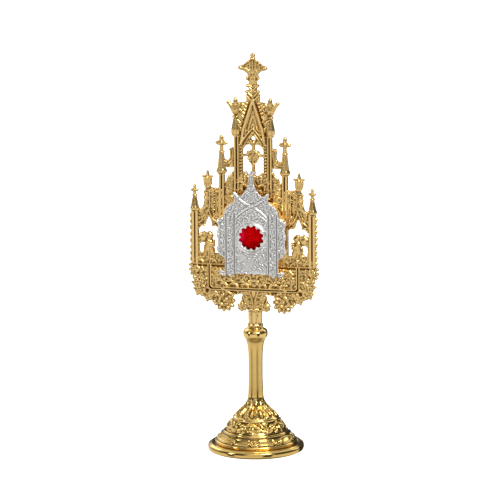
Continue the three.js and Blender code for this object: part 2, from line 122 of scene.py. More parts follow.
class Casting:
    """Ornament in the plane of the front, in millimetres: x across, z up, y the depth."""

    def __init__(self):
        self.bm = bmesh.new()
        self.whole = bmesh.new()

    def pour(self, limit=0):
        """Adds the newest shapes to the whole; operators stay quick on a small mesh."""
        if len(self.bm.verts) <= limit:
            return
        add_copy(self.whole, self.bm)
        self.bm.clear()

    def slab(self, outline, back=BACK, front=WEB):
        face = self.bm.faces.new([self.bm.verts.new((x, back, z)) for x, z in outline])
        made = bmesh.ops.extrude_face_region(self.bm, geom=[face])["geom"]
        moved = [v for v in made if isinstance(v, bmesh.types.BMVert)]
        bmesh.ops.translate(self.bm, vec=(0, front - back, 0), verts=moved)

    def bar(self, x0, x1, z0, z1, front):
        self.slab([(x0, z0), (x1, z0), (x1, z1), (x0, z1)], BACK, front)

    def bead(self, x, z, rx, rz=None, y=FIELD, ry=None, lean=0.0):
        """An egg-shaped bead; lean turns its height towards +X."""
        self.pour(POUR_AT)
        rz = rx if rz is None else rz
        ry = min(rx, rz) if ry is None else ry
        place = Matrix.Translation((x, y, z)) @ Matrix.Rotation(lean, 4, "Y")
        shape = place @ Matrix.Diagonal((rx, ry, rz, 1))
        bmesh.ops.create_icosphere(self.bm, subdivisions=2, radius=1, matrix=shape)

    def rod(self, start, end, r0, r1, y):
        a, b = (Vector((x, y, z)) for x, z in (start, end))
        turn = (b - a).to_track_quat("Z", "Y").to_matrix().to_4x4()
        bmesh.ops.create_cone(
            self.bm, cap_ends=True, segments=ROD_SIDES, radius1=r0, radius2=r1,
            depth=(b - a).length, matrix=Matrix.Translation((a + b) / 2) @ turn,
        )

    def strand(self, points, r0, r1, y=WEB):
        """A wire through these points that tapers from r0 to r1, with rounded joints and ends."""
        last = len(points) - 1
        for i, (x, z) in enumerate(points):
            radius = along(r0, r1, i / last)
            self.bead(x, z, radius, y=y)
            if i < last:
                self.rod((x, z), points[i + 1], radius, along(r0, r1, (i + 1) / last), y)

    def line(self, points, width, front):
        """A flat moulding of this width through the points."""
        for start, end in zip(points, points[1:]):
            a, b = Vector(start), Vector(end)
            run = (b - a).normalized()
            side = Vector((-run.y, run.x)) * width / 2
            a, b = a - run * width * 0.3, b + run * width * 0.3
            self.slab([a + side, a - side, b - side, b + side], BACK, front)

    def volute(self, x, z, radius, start, turns, thick, y=WEB, hand=1):
        """A stem that winds inwards to a round bud; start is the angle of its open end."""
        steps = max(6, round(10 * turns))
        points = []
        for i in range(steps + 1):
            wound = i / steps
            out = heading(start + hand * turns * math.tau * wound, radius * (1 - 0.72 * wound))
            points.append((x + out.x, z + out.y))
        self.strand(points, thick, thick * 0.6, y)
        self.bead(x, z, radius * 0.3, y=y - 0.15)

    def frond(self, x, z, angle, length, width, lobes, thick, y=WEB, bend=0.0):
        """A leaf with a raised midrib and round lobes that lean towards its tip."""
        point = Vector((x, z))
        points, step = [tuple(point)], length / lobes
        for i in range(lobes):
            turned = angle + bend * (i + 0.5) / lobes
            middle = point + heading(turned, step * 0.5)
            size = width * math.sin(math.pi * (0.3 + 0.55 * i / lobes))
            for side in (-1, 1):
                lean = turned + side * 0.75
                lobe = middle + heading(lean, size * 0.5)
                self.bead(lobe.x, lobe.y, thick * 0.85, size * 0.62, y + 0.1, thick, lean)
            point = point + heading(turned, step)
            points.append(tuple(point))
        self.strand(points, thick, thick * 0.75, y - 0.15)
        self.bead(*points[-1], thick * 1.25, y=y)

    def stack(self, x, profile, deep=0.8, sides=8, y=MIDDLE):
        """Stretches with a flat face in front, through these pairs of half width and height."""
        corner = 1 / math.cos(math.pi / sides)
        squash = Matrix.Diagonal((1, deep, 1, 1)) @ Matrix.Rotation(math.pi / sides, 4, "Z")
        for (half0, z0), (half1, z1) in zip(profile, profile[1:]):
            bmesh.ops.create_cone(
                self.bm, cap_ends=True, segments=sides, radius1=half0 * corner, radius2=half1 * corner,
                depth=z1 - z0, matrix=Matrix.Translation((x, y, (z0 + z1) / 2)) @ squash,
            )

    def mirror(self):
        self.pour()
        everything = self.whole.verts[:] + self.whole.edges[:] + self.whole.faces[:]
        bmesh.ops.mirror(self.whole, geom=everything, axis="X", merge_dist=1e-6)

    def fuse(self, name, voxel):
        """The ornament as one skin, in metres."""
        self.pour()
        bmesh.ops.scale(self.whole, vec=(MM, MM, MM), verts=self.whole.verts)
        bmesh.ops.recalc_face_normals(self.whole, faces=self.whole.faces)
        piece = new_piece(name, self.whole)
        piece.data.remesh_voxel_size = voxel
        bpy.context.view_layer.objects.active = piece
        bpy.ops.object.voxel_remesh()
        piece.data.shade_smooth()
        return piece


def new_piece(name, bm):
    mesh = bpy.data.meshes.new(name)
    bm.to_mesh(mesh)
    bm.free()
    piece = bpy.data.objects.new(name, mesh)
    bpy.context.collection.objects.link(piece)
    return piece


def surface(mesh):
    """Points and normals of a mesh, one to a row."""
    points, normals = (np.empty(len(mesh.vertices) * 3) for _ in range(2))
    mesh.vertices.foreach_get("co", points)
    mesh.vertex_normals.foreach_get("vector", normals)
    return points.reshape(-1, 3), normals.reshape(-1, 3)


def reshape_surface(mesh, points):
    mesh.vertices.foreach_set("co", points.ravel())
    mesh.update()


HOLLOW_PASSES = ((5, 4.5), (24, 1.5))  # smoothing rounds and gain, for fine and for broad hollows
HOLLOW_FLAT = 0.42  # what flat ground gets


def store_hollows(mesh):
    """Keeps how far each point lies in a hollow (1) or on a ridge (0) as the attribute "hollow"."""
    points, normals = surface(mesh)
    points /= MM
    count = len(points)
    ends = np.empty(len(mesh.edges) * 2, dtype=np.int64)
    mesh.edges.foreach_get("vertices", ends)
    ends = ends.reshape(-1, 2)
    links = np.bincount(ends.ravel(), minlength=count).clip(1)[:, None]
    smooth, total, done = points.copy(), np.zeros(count), 0
    for last, gain in HOLLOW_PASSES:
        for _ in range(done, last):
            sums = np.stack([
                np.bincount(ends[:, 0], smooth[ends[:, 1], i], count)
                + np.bincount(ends[:, 1], smooth[ends[:, 0], i], count)
                for i in range(3)
            ], axis=1)
            smooth = sums / links
        done = last
        total += gain * ((smooth - points) * normals).sum(axis=1)
    hollow = np.clip(HOLLOW_FLAT + total, 0, 1).astype(np.float32)
    mesh.attributes.new("hollow", "FLOAT", "POINT").data.foreach_set("value", hollow)


def dress(piece, node, finish):
    """Gives a piece its finish and lets it stand for a solid."""
    store_hollows(piece.data)
    piece.data.materials.clear()
    piece.data.materials.append(finish)
    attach(piece, "root")
    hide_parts(node)


UP, FORWARD = (0, 0, 1), (0, -1, 0)


def spun(profile, steps, centre=(0, 0, 0), axis=UP):
    """A closed turned shape from (radius, height) pairs along its axis, in millimetres."""
    bm = bmesh.new()
    points = [bm.verts.new((r, 0, z)) for r, z in profile]
    edges = [bm.edges.new(pair) for pair in zip(points, points[1:])]
    bmesh.ops.spin(
        bm, geom=points + edges, cent=(0, 0, 0), axis=UP, angle=math.tau, steps=steps, use_merge=True,
    )
    bmesh.ops.remove_doubles(bm, verts=bm.verts, dist=1e-4)
    bmesh.ops.recalc_face_normals(bm, faces=bm.faces)
    turn = Vector(axis).to_track_quat("Z", "Y").to_matrix().to_4x4()
    bmesh.ops.transform(bm, matrix=Matrix.Translation(centre) @ turn, verts=bm.verts)
    return bm


# ---- the front: tower, wings, figures and bracket ----

TOWER_HALF = 10.9  # half width of the tower
LIGHT_HALF, SPRING_Z, ARCH_Z = 6.0, 173.6, 183.4  # half width, springing and apex of its window
EYE_Z, EYE_R = 180.7, 1.25  # round eye over the window
SPIRE_X, TALL_X, WING_X, OUTER_X = 10.1, 18.3, 26.4, 34.0  # lily, tall pinnacle, urn, outer pinnacle
SHELF_Z = 107.6
FRAME_X, FRAME_Z = 25.7, 94.2  # lower corner of the bracket's frame
JAMB_NOTCHES, NOTCH_PITCH = 10, 1.8
ARCH_STEPS = 8
PETALS, PETAL_TURN = 7, 0.56  # of the curl under the bracket


def arch_side(half, spring, top):
    """Right side of a pointed arch, from its springing to its apex."""
    rise = top - spring
    radius = (rise * rise + half * half) / (2 * half)
    sweep = math.asin(rise / radius)
    centre = half - radius
    return [
        (centre + radius * math.cos(turn), spring + radius * math.sin(turn))
        for turn in (sweep * i / ARCH_STEPS for i in range(ARCH_STEPS + 1))
    ]


def half_ring(z, radius, steps=ARCH_STEPS):
    """Right half of a circle in the middle of the front, from its top down."""
    turns = (math.pi * i / steps for i in range(steps + 1))
    return [(radius * math.sin(turn), z + radius * math.cos(turn)) for turn in turns]


def add_top_cross(c):
    """The great cross with budded ends on its crocketed shaft."""
    c.slab([
        (0, 212), (2, 212.6), (2.6, 213.6), (3.3, 214.6), (3.3, 216.2), (2.9, 217.4), (3.6, 218.3),
        (5.2, 219.4), (6.8, 220.1), (7.4, 220.2), (7.4, 222.2), (5.8, 222.6), (4.2, 223.7),
        (3, 224.9), (1.8, 225.7), (0, 226),
    ])
    c.strand([(0, 213), (0, 226)], 0.55, 0.5)
    c.strand([(1.1, 213.2), (1.3, 217), (2.3, 219.8), (4.6, 221), (7.2, 221.2)], 0.6, 0.8)
    c.strand([(0.8, 218.4), (1.6, 222), (1.9, 224.9)], 0.5, 0.5)
    c.strand([(3.2, 218.8), (5.4, 220.1), (7.2, 220.6)], 0.5, 0.5)
    c.bead(7.2, 221.3, 1.45, 1.3, MIDDLE, 1.5)
    for x, z in ((5.6, 222.6), (3.9, 223.9), (2.3, 225.2)):
        c.bead(x, z, 0.8, y=WEB, ry=1.1)
    c.bead(0, 226.6, 1.75, 1.1, MIDDLE, 1.5)
    c.bead(0, TOP - 1.6, 1.6, 1.6, MIDDLE, 1.5)
    c.bead(3.2, 215.4, 0.9, 1.2, WEB + 0.2, 1.3)
    c.bar(0, 2.3, 200.6, 214, WEB - 0.3)
    for z, x in ((211.2, 3.0), (207.7, 3.4)):
        c.bead(x, z, 1.1, 1.0, WEB, 1.5)
        c.strand([(x, z), (x - 1.6, z - 1.5), (0, z - 3.2)], 0.8, 0.6, WEB - 0.3)
        c.strand([(1.9, z + 0.4), (0, z - 1)], 0.45, 0.45, WEB - 0.4)
    c.bar(0, 3.8, 200.8, 205.8, WEB - 0.1)
    c.line([(3.7, 205.6), (0, 201.8)], 0.9, RAISED + 0.2)


def add_gable(c):
    """Gable, arch head with its eye, and the leaves that fill the shoulders."""
    c.slab(
        [(0, 176.4), (0.9, 176.2), (1.5, 176.9), (2.8, 177.3), (4.4, 176.4), (5.6, 174.6)]
        + arch_side(LIGHT_HALF + 0.3, 174.6, ARCH_Z + 1) + half_ring(EYE_Z, EYE_R)
    )
    c.slab(
        arch_side(LIGHT_HALF, SPRING_Z, ARCH_Z)
        + [(0, 204), (3.8, 201.6), (7.4, 201.2), (8.6, 199), (8.8, 186), (TOWER_HALF, 183.6),
           (TOWER_HALF, SPRING_Z)]
    )
    for width, front, *points in (
        (1.5, RAISED, (0, 203.2), (5.5, 186), (6.7, 178.4)),
        (0.5, FIELD - 0.2, (0, 199.6), (4.2, 186.6)), (0.4, FIELD, (0, 196.4), (2.4, 188.6)),
        (0.8, RAISED - 0.2, (0, 187), (3.8, 182.5), (7.6, 176.8)),
        (1.9, FIELD - 0.15, (0, 185.2), (3.3, 181.3), (6.7, 175.8)),
        (0.5, FIELD - 0.5, (0.9, 183.2), (2.9, 180.6), (5.9, 175.4)),
    ):
        c.line(points, width, front)
    c.strand(half_ring(EYE_Z, EYE_R + 0.55), 0.35, 0.35, FIELD)
    for z, length in ((184.6, 5.4), (190.4, 6.2)):
        c.frond(5.6 + (194 - z) * 0.08, z, 0.2, length, 3.2, 3, 0.8, WEB + 0.2, bend=0.7)
    c.volute(6.3, 199, 2.4, 3.0, 1.0, 0.95, hand=-1)


def add_tower_window(c):
    """Jambs with their notches, tracery arms and the leafy quatrefoil of the tower's window."""
    for x0, x1, high, front in (
        (LIGHT_HALF, TOWER_HALF, 184, BACK - 0.8), (LIGHT_HALF + 0.1, 9.1, 182, FIELD + 0.1),
        (8.3, 9.1, 182, FIELD - 0.3), (9.9, TOWER_HALF, 183, RAISED),
    ):
        c.bar(x0, x1, 147, high, front)
    for i in range(JAMB_NOTCHES):
        c.bar(6.0, 7.7, 160.6 + i * NOTCH_PITCH, 161.5 + i * NOTCH_PITCH, FIELD - 0.45)
    c.slab([(0, 179.2), (0.9, 178.8), (1.4, 177.8), (0.9, 176.4), (0.9, 158), (0, 158)])
    c.strand([(0, 178.6), (0, 160)], 0.8, 0.7)
    c.bead(0, 178.3, 1.3, 1.2, FIELD, 0.9)
    arm = [(0, 173.8), (1.5, 173.2), (2.8, 171.8), (4.6, 170.9), (6.3, 170.9)]
    c.strand(arm, 0.85, 0.75)
    c.strand(arm, 0.8, 0.75, MIDDLE + 0.3)
    c.bead(3.1, 172.8, 0.8, y=MIDDLE, ry=1.2)
    c.slab([(0, 174), (1.6, 173), (3, 171.6), (3.3, 170), (2.6, 168.2), (1.4, 166.6), (0, 165.6)])
    for x, z, r in ((2.7, 169.2, 0.75), (1.9, 167.5, 0.75), (0.7, 166.2, 0.75), (0.5, 172.8, 0.6)):
        c.bead(x, z, r, y=WEB, ry=1.1)
    for x in (0.9, 2.0):
        c.strand([(0.1, 171.6), (x * 0.7, 169.6), (x, 167.8 + x * 0.4)], 0.4, 0.4, WEB - 0.1)


def add_sill_leaves(c):
    """Leaf scrolls under the window, with two deep hollows beside the ogee of the case."""
    c.slab([
        (0, 133), (TOWER_HALF, 133), (TOWER_HALF, 160.8), (4.6, 160.6), (2.4, 159), (0, 159.6),
    ], BACK, WEB + 0.2)
    c.frond(3.2, 153, 0.75, 6.4, 3.4, 2, 0.9, bend=0.5)
    c.volute(4.0, 157.6, 2.0, 3.8, 1.0, 0.85)
    c.volute(7.4, 156.6, 1.6, 0.6, 1.0, 0.75, hand=-1)
    c.volute(7.4, 150, 2.0, 1.2, 0.9, 0.8, hand=-1)
    c.frond(10.4, 147, -0.5, 4.4, 1.8, 3, 0.5)


def add_lily_pinnacle(c):
    x = SPIRE_X
    c.stack(x, [(1.6, 181.6), (2.5, 183.6), (2.4, 185.8), (1.5, 190.6), (1.15, 192.4)])
    c.bead(x, 193, 2.1, 0.95, MIDDLE, 1.8)
    c.bead(x, 193, 0.6, 0.6, MIDDLE - 1.7, 0.6)
    c.bead(x, 197, 2.7, 3.3, MIDDLE, 1.9)
    c.bead(x - 0.1, 200.9, 1.45, 3.7, MIDDLE - 0.3, 1.4)
    c.strand([(x + 1, 196.6), (x + 2.3, 199), (x + 3.5, 200.6), (x + 4.3, 201.1)], 1.6, 1.1, MIDDLE)
    c.strand([(x - 0.8, 196.6), (x - 1.9, 199), (x - 2.6, 200.6)], 1.5, 1.0, MIDDLE)
    for side in (-1, 1):
        rib = [(x + side * 0.7, 195), (x + side * 1.3, 197.6), (x + side * 1.2, 200)]
        c.strand(rib, 0.4, 0.35, MIDDLE - 1.6)


def add_petalled_pinnacle(c, x, eave, half, neck, ring, arms, span, tip):
    """Flared eave, eight-sided spire, ring and a cross of four petals."""
    c.stack(x, [(half * 0.6, eave - 2.4), (half, eave - 1), (half, eave), (half * 0.8, eave + 1.3),
                (neck, ring - 0.6)])
    c.bead(x, ring, neck * 1.45, 0.75, MIDDLE, neck * 1.35)
    c.stack(x, [(neck * 0.85, ring), (neck * 0.75, arms)], 0.9)
    long = (tip - arms) * 0.5
    c.bead(x, arms + long * 0.98, span * 0.37, long, MIDDLE, 1.2)
    for side in (-1, 1):
        c.bead(x + side * span * 0.5, arms, span * 0.5, span * 0.36, MIDDLE, 1.1)
        c.bead(x + side * span * 0.84, arms, span * 0.18, span * 0.18, MIDDLE, 0.7)
    c.bead(x, arms, span * 0.34, span * 0.4, MIDDLE - 0.4, 1.3)
    c.bead(x, arms - span * 0.5, span * 0.28, span * 0.45, MIDDLE, 1.1)


def add_shaft(c, x, left, gap_left, gap_right, right, low, high, step=0.0):
    """A shaft of two strips with a deep gap between them, the right strip stepped back."""
    c.bar(x - left, x + right, low, high, BACK - 0.8)
    c.bar(x - left, x - gap_left, low, high, RAISED)
    c.bar(x + gap_right, x + right, low, high, RAISED + step)


def add_tall_pinnacle(c):
    add_shaft(c, TALL_X, 1.6, 0.5, 0.25, 1.5, low=133, high=160.2)
    add_petalled_pinnacle(
        c, TALL_X, eave=161.8, half=2.9, neck=1.4, ring=172.4, arms=177.6, span=3.7, tip=182.5,
    )


def add_outer_pinnacle(c):
    x = OUTER_X
    add_shaft(c, x, 2.1, 0.45, 0.2, 1.9, low=107, high=138.2, step=0.3)
    add_petalled_pinnacle(
        c, x, eave=139.6, half=2.6, neck=1.15, ring=146.8, arms=149.8, span=2.4, tip=153.5,
    )
    for i, z in enumerate((135, 131.6, 128, 124.2, 120.4, 116.6, 113, 109.6)):
        c.bead(x + 2.1, z, 0.95, 1.7, MIDDLE, 1.2, 0.12)
        c.strand([(x + 1.7, z - 1.2), (x + 2.5 + 0.2 * (i % 2), z + 0.5)], 0.4, 0.45, WEB - 0.1)


def add_urn(c):
    x = WING_X
    c.stack(x, [(1.6, 149.4), (1.2, 151.2), (1.7, 152.2), (2.3, 153.4), (2.5, 155.4), (2.4, 157.4)])
    for side in (-1, 0, 1):
        rib = [(x + side * 0.8, 152), (x + side * 1.5, 154.6), (x + side * 1.6, 157)]
        c.strand(rib, 0.75, 0.75, MIDDLE - 1.4)
    for side in (-1, 1):
        c.strand([(x, 157.4), (x + side * 2.8, 158)], 1.0, 0.7, MIDDLE)
    c.strand([(x, 157.2), (x, 161.2)], 1.5, 0.6, MIDDLE)


def add_buttresses(c):
    """The two leaf-shaped buttresses between the tower and the tall pinnacle."""
    c.slab([
        (10.6, 175), (12.6, 175), (13.8, 174.2), (13.4, 172.2), (13.2, 169.6), (13.8, 168.4),
        (15, 167.2), (17, 168.4), (17, 164), (14.6, 163.4), (12.4, 163.8), (10.6, 163.4),
    ])
    c.strand([(11.4, 172.6), (12, 168.4), (14, 165.8), (16.4, 165.6)], 0.7, 0.8)
    c.strand([(11.2, 174.4), (13.2, 174)], 0.7, 0.75)
    c.strand([(13, 173.4), (12.8, 169.6), (14.4, 167.4)], 0.5, 0.5, FIELD)
    c.slab([
        (10.6, 162.4), (11.2, 161.2), (12.2, 159.4), (13.9, 158.2), (14.6, 156), (15.6, 154.8),
        (17, 154.2), (17, 133), (10.6, 133),
    ])
    c.strand([(11.2, 161.4), (12.4, 159.4), (14.2, 157.8), (15, 155.6), (16.6, 154.6)], 0.7, 0.65)
    c.frond(12, 152.6, 0.15, 6, 2.4, 3, 0.6)
    c.volute(14.2, 150.6, 2, 4.0, 1.2, 0.7)
    c.volute(13.4, 145.4, 2, 0.6, 1.2, 0.7, hand=-1)
    c.frond(12.4, 138.6, 0.4, 5, 2.4, 3, 0.6)


def add_wing_wall(c):
    """The leafy wall between the tall and the outer pinnacle, and the arch head under it."""
    c.slab([
        (16.6, 151), (19.6, 151), (21, 150.4), (24.4, 150.6), (27.8, 150.2), (28.4, 148),
        (28.2, 145), (28.8, 142), (29.6, 139.8), (31.4, 138.6), (32.6, 139), (32.6, 126),
        (31.6, 128.4), (30.2, 130.2), (28.9, 129.8), (28, 129.9), (27.4, 131.6), (26.6, 133.6),
        (25.9, 135), (25.2, 133.8), (24.4, 131.8), (23.9, 129.9), (22.8, 130), (21.4, 130.6),
        (20.6, 129.2), (16.6, 128),
    ])
    for z in (148.6, 145.6, 142.6):
        c.bead(28, z, 1.0, 1.35, WEB + 0.6, 1.3, 0.3)
        c.strand([(26.6, z - 1.8), (27.4, z - 0.2), (28.4, z + 0.5)], 0.5, 0.55)
    for x, z in ((19.9, 151.1), (22, 150.9), (24, 151.1)):
        c.bead(x, z, 1.0, 0.8, WEB + 0.6, 1.3)
    for x0, x1 in ((21.1, 21.8), (24.9, 25.6)):
        c.bar(x0, x1, 137, 149.6, FIELD - 0.2)
    for z in (137.4, 141.6, 145.8):
        c.frond(23.4, z, 0.0, 4, 2.0, 3, 0.55)
    c.frond(20, 138, 0.1, 5.6, 1.5, 4, 0.5)
    c.frond(20, 144.4, -0.1, 5.6, 1.5, 4, 0.5)
    c.line([(20.8, 131.6), (23.6, 133.6), (25.1, 137), (25.9, 139.6)], 0.8, RAISED + 0.2)
    c.line([(25.9, 139.6), (26.7, 137), (28.2, 133.6), (31.6, 131)], 0.8, RAISED + 0.2)
    c.strand([(23.6, 129.8), (22, 130.2), (20.8, 129.4)], 0.6, 0.55, FIELD)
    c.strand([(28.2, 129.8), (29.8, 130.2), (31.4, 128)], 0.6, 0.55, FIELD)
    c.frond(29.6, 132.6, 0.2, 5.4, 2.2, 3, 0.6)
    c.frond(22, 133.4, -0.2, 3.6, 1.6, 3, 0.5)


def add_kneeling_figure(c):
    """A winged figure that kneels towards the case in a falling robe."""
    depth = MIDDLE - 0.6
    c.bead(24.8, 123.9, 1.85, 2.1, depth, 1.5)  # head
    c.bead(25.5, 124.8, 2.0, 1.6, depth + 0.2, 1.65)  # hair
    c.bead(23.3, 123.5, 0.5, 0.5, depth - 0.4, 0.5)
    c.bead(25.6, 121.6, 2.2, 1.6, depth + 0.2, 1.4, 0.3)  # neck
    c.bead(25.4, 119.2, 2.5, 3.2, depth, 1.7, 0.1)  # shoulders and chest
    c.strand([(26, 120.8), (24.2, 118.4), (22.9, 119.4), (22.6, 121.2)], 1.2, 0.75, depth - 0.8)
    c.strand([(24.8, 120.2), (23.5, 117.8), (22.6, 118.4)], 1.1, 0.8, depth - 0.4)
    for x0, x1, x2 in ((24, 23.5, 22.5), (24.9, 24.6, 23.9), (25.9, 25.9, 25.5), (26.8, 27.3, 27.6)):
        c.strand([(x0, 118.2), (x1, 115.8), (x2, 113)], 0.8, 0.85, depth - 0.7)
    c.bead(23.9, 115.2, 1.9, 2.4, depth, 1.5)  # knees
    c.bead(26, 116.4, 3.0, 3.8, depth + 0.1, 1.6)
    c.bead(29.2, 122.8, 2.3, 3.3, MIDDLE, 1.5, 0.25)
    c.bead(28, 113.8, 2.2, 1.1, depth, 1.4)  # heels
    for tip_x, tip_z in ((31.7, 119.4), (31.6, 121.6), (30.9, 123.6), (29.2, 125)):
        bend = ((26.6 + tip_x) / 2 - 0.4, (121.6 + tip_z) / 2 + 1.2)
        c.strand([(26.6, 121.2), bend, (tip_x, tip_z)], 0.85, 0.95, depth + 0.3)
    c.slab([
        (26.2, 119.6), (27.2, 124.4), (28.6, 126), (30.6, 125), (32, 123.6), (32, 119.6),
        (30.4, 120.4),
    ], BACK + 0.1, WEB - 0.1)
    c.strand([(28, 118.6), (28.1, 115.4), (29, 112.9)], 0.7, 0.7, depth)
    c.strand([(31.6, 119.6), (31.6, 116), (31.2, 113.2)], 0.6, 0.6, MIDDLE)


def add_shelf(c):
    """The moulded shelf and the leaf frieze above it, under the figure."""
    for end, low, high, front in (
        (33.2, 108, 113.4, WEB), (31.8, 112.9, 113.5, FIELD), (35.4, 106.8, 108.3, FIELD),
        (36, 107.3, 107.9, RAISED + 0.1),
    ):
        c.bar(15.6, end, low, high, front)
    for i in range(4):
        c.frond(17.6 + i * 3.9, 108.7, 0.8 if i % 2 else -0.4, 4.4, 2.8, 2, 0.75, bend=0.5)


def add_bracket(c):
    """Framed scroll panel under the shelf, with curling leaves below and at its sides."""
    c.slab([
        (0, 92), (8, 90.6), (9.2, 90), (11.2, 90), (12.4, 88.6), (13, 85), (14, 82.4), (17.2, 81.4),
        (21, 83.6), (22.8, 86.2), (24.4, 86.8), (26.6, 88.4), (29.6, 89.2), (32, 90.4),
        (32.6, 92.4), (31.4, 95), (32, 97.4), (33.6, 98.2), (35, 100), (35.8, 102.8), (36, 106),
        (36, 108), (0, 108),
    ])
    for out, down, width in ((-0.85, 0.0, 0.8), (0.65, 1.4, 0.7)):
        x, z = FRAME_X + out, FRAME_Z - down
        c.line([(x, SHELF_Z), (x, z + 1), (x - 1, z), (0, z)], width, RAISED + 0.2)
    c.bead(0, 98.8, 2.2, 1.5, WEB, 1.0)
    c.bead(1.9, 97, 1.0, 1.9, WEB, 0.9, -0.5)
    c.volute(4.0, 100.2, 2.7, 3.6, 1.0, 1.1)
    for x, z, angle, length, bend in (
        (3.4, 95.8, 1.05, 6.6, -0.4), (9.4, 95.4, 0.75, 8.6, 0.4), (15.4, 95.4, 0.8, 8.8, 0.3),
        (21.6, 95.6, 0.2, 7.6, -0.3),
    ):
        c.frond(x, z, angle, length, 3.8, 3, 1.1, bend=bend)
    c.volute(11.6, 101.6, 2.6, 4.2, 1.0, 1.1)
    c.volute(19.4, 103.4, 2.6, 2.6, 1.0, 1.05, hand=-1)


def add_bracket_edge(c):
    """Leaves that run round the outside of the bracket."""
    for x, z, angle, length in (
        (27.6, 103.4, 1.3, 7.4), (27.8, 98.6, 1.9, 7), (26.8, 93.8, 1.75, 6.6),
        (22.4, 91.2, 1.95, 6),
    ):
        c.frond(x, z, angle, length, 3.8, 3, 1.1, WEB + 0.1, bend=0.35)
    for x, z, r in (
        (36.6, 106.4, 1.2), (36.9, 103.8, 1.1), (35.9, 101.4, 1.2), (34.5, 99.2, 1.3),
        (33, 97.5, 1.2), (31.6, 95.8, 1.1), (32.7, 92.8, 1.4), (32.2, 90.4, 1.6), (30, 89.4, 1.4),
        (27.6, 88.7, 1.3), (25, 87.3, 1.4), (23.2, 85.7, 1.1),
    ):
        c.bead(x, z, r, r * 0.9, MIDDLE, 1.3)
    c.volute(32.4, 104.6, 1.9, 1.0, 0.9, 0.95)
    c.volute(30.2, 92.6, 2.3, 2.4, 1.0, 1.0)


def add_curl(c):
    """The big leaf that curls under the bracket, with blunt petals round it."""
    x, z = 17.1, 86.2
    c.slab([(x + 5 * math.cos(a), z + 5 * math.sin(a)) for a in (math.tau * i / 16 for i in range(16))])
    for i in range(PETALS):
        angle = 1.95 + PETAL_TURN * i
        out = heading(angle, 4.7)
        c.bead(x + out.x, z + out.y, 1.3, 1.9, WEB + 0.6, 1.5, angle)
        a, b = heading(angle, 3.8), heading(angle, 5.6)
        c.strand([(x + a.x, z + a.y), (x + b.x, z + b.y)], 0.45, 0.4, FIELD)
    c.volute(x, z, 3.5, 0.2, 1.1, 1.3)
    c.frond(x + 2.6, z + 2.8, 1.2, 6.2, 3.2, 3, 1.0)
    c.frond(x - 3.8, z + 4.4, 1.0, 5.8, 2.8, 2, 0.95)


def add_socket(c):
    """Neck with its rings, the capital of upright leaves and the volutes beside it."""
    low = FRONT_LOW.z
    rings = (
        (4.4, 0), (4.5, 0.7), (4.3, 1.4), (3.85, 2), (4.0, 5), (4.0, 9), (4.5, 9.5), (4.5, 10.6),
        (3.9, 11.2),
    )
    neck = [(half, low + up) for half, up in rings] + [(3.9, 86), (4.4, 93)]
    c.stack(0, neck, 1.0, 20, 0)
    for x0, x1, x2, y in ((0.6, 1.0, 2.5, -3.8), (2.9, 3.9, 6.0, -3.1)):
        c.strand([(x0, 83.2), (x1, 88), (x2, 92.6)], 0.6, 0.75, y)
    bell = [(0, 83), (3, 83.2), (4.4, 85.4), (6.4, 90), (8.4, 91.8), (8, 94), (0, 94)]
    c.slab(bell, BACK + 0.6, WEB + 0.2)
    c.slab([
        (3.4, 82.8), (5, 81.4), (7.2, 80.9), (8.8, 81.8), (9.2, 83.4), (8.8, 85), (7.8, 86),
        (7, 89.6), (4.6, 88),
    ])
    c.volute(6.8, 83.6, 2.1, 5.4, 1.2, 0.95, hand=-1)
    for x, z in ((5.4, 81.6), (7.2, 81.1), (8.5, 82.1), (8.8, 84)):
        c.bead(x, z, 0.9, 0.9, WEB + 0.6, 1.3)


def add_side_wall(c):
    """Closes the ground between the wings and the case, behind the figures."""
    c.bar(16, 20, 108, 134, WEB)


def add_back_wall(c):
    """Closes the ground behind the case."""
    c.bar(0, 16.4, 107, 134, WEB)


FRONT_PARTS = (  # name, how far forward, and what it is made of; no two overlap in one plane
    ("gilt_tower", 0, (
        add_top_cross, add_gable, add_tower_window, add_sill_leaves, add_lily_pinnacle, add_buttresses,
        add_tall_pinnacle,
    )),
    ("gilt_wings", 0.06, (
        add_outer_pinnacle, add_urn, add_wing_wall, add_kneeling_figure, add_side_wall,
    )),
    ("gilt_bracket", 0.12, (
        add_shelf, add_bracket, add_bracket_edge, add_curl, add_socket, add_back_wall,
    )),
)


def cast_front(name, forward, makers, voxel):
    """One part of the gilt front, fused, with low leaf relief on its bare grounds."""
    c = Casting()
    for make in makers:
        make(c)
    c.mirror()
    piece = c.fuse(name, voxel)
    chase(piece.data, leafy_ground, WEB, 0.25)
    soften(piece.data)
    piece.data.transform(Matrix.Translation((0, -forward * MM, 0)))
    return piece


# ---- low relief: heights that are chased into finished surfaces ----

FAN_LOBES = 3
FACING = -0.75  # largest Y of a normal that counts as facing the front


def smooth_step(low, high, value):
    t = np.clip((value - low) / (high - low), 0, 1)
    return t * t * (3 - 2 * t)


def dab(value, width):
    """A soft ridge, 1 where the value is 0."""
    return np.exp(-((value / width) ** 2))


def spiral_ridge(u, v, radius, hand, stroke):
    """Height from 0 to 1 of a spiral relief centred here, its strokes this far apart."""
    out = np.hypot(u, v)
    wind = 0.5 + 0.5 * np.cos(math.tau * out / stroke - hand * np.arctan2(v, u))
    return np.maximum(wind, 1 - 1.6 * out / stroke) * smooth_step(radius, 0.75 * radius, out)


def leaf_fan(u, v, radius):
    """Height from 0 to 1 of a leaf whose lobes spread from its stalk at one side."""
    out, angle = np.hypot(u, v + 0.7 * radius), np.arctan2(u, v + 0.7 * radius)
    reach = radius * (1.55 - 0.35 * angle * angle)
    ribs = 0.5 + 0.5 * np.cos(math.tau * angle * FAN_LOBES / 2.4)
    inside = smooth_step(reach, 0.8 * reach, out) * smooth_step(1.25, 1.05, np.abs(angle))
    return (0.25 + 0.75 * ribs) * inside


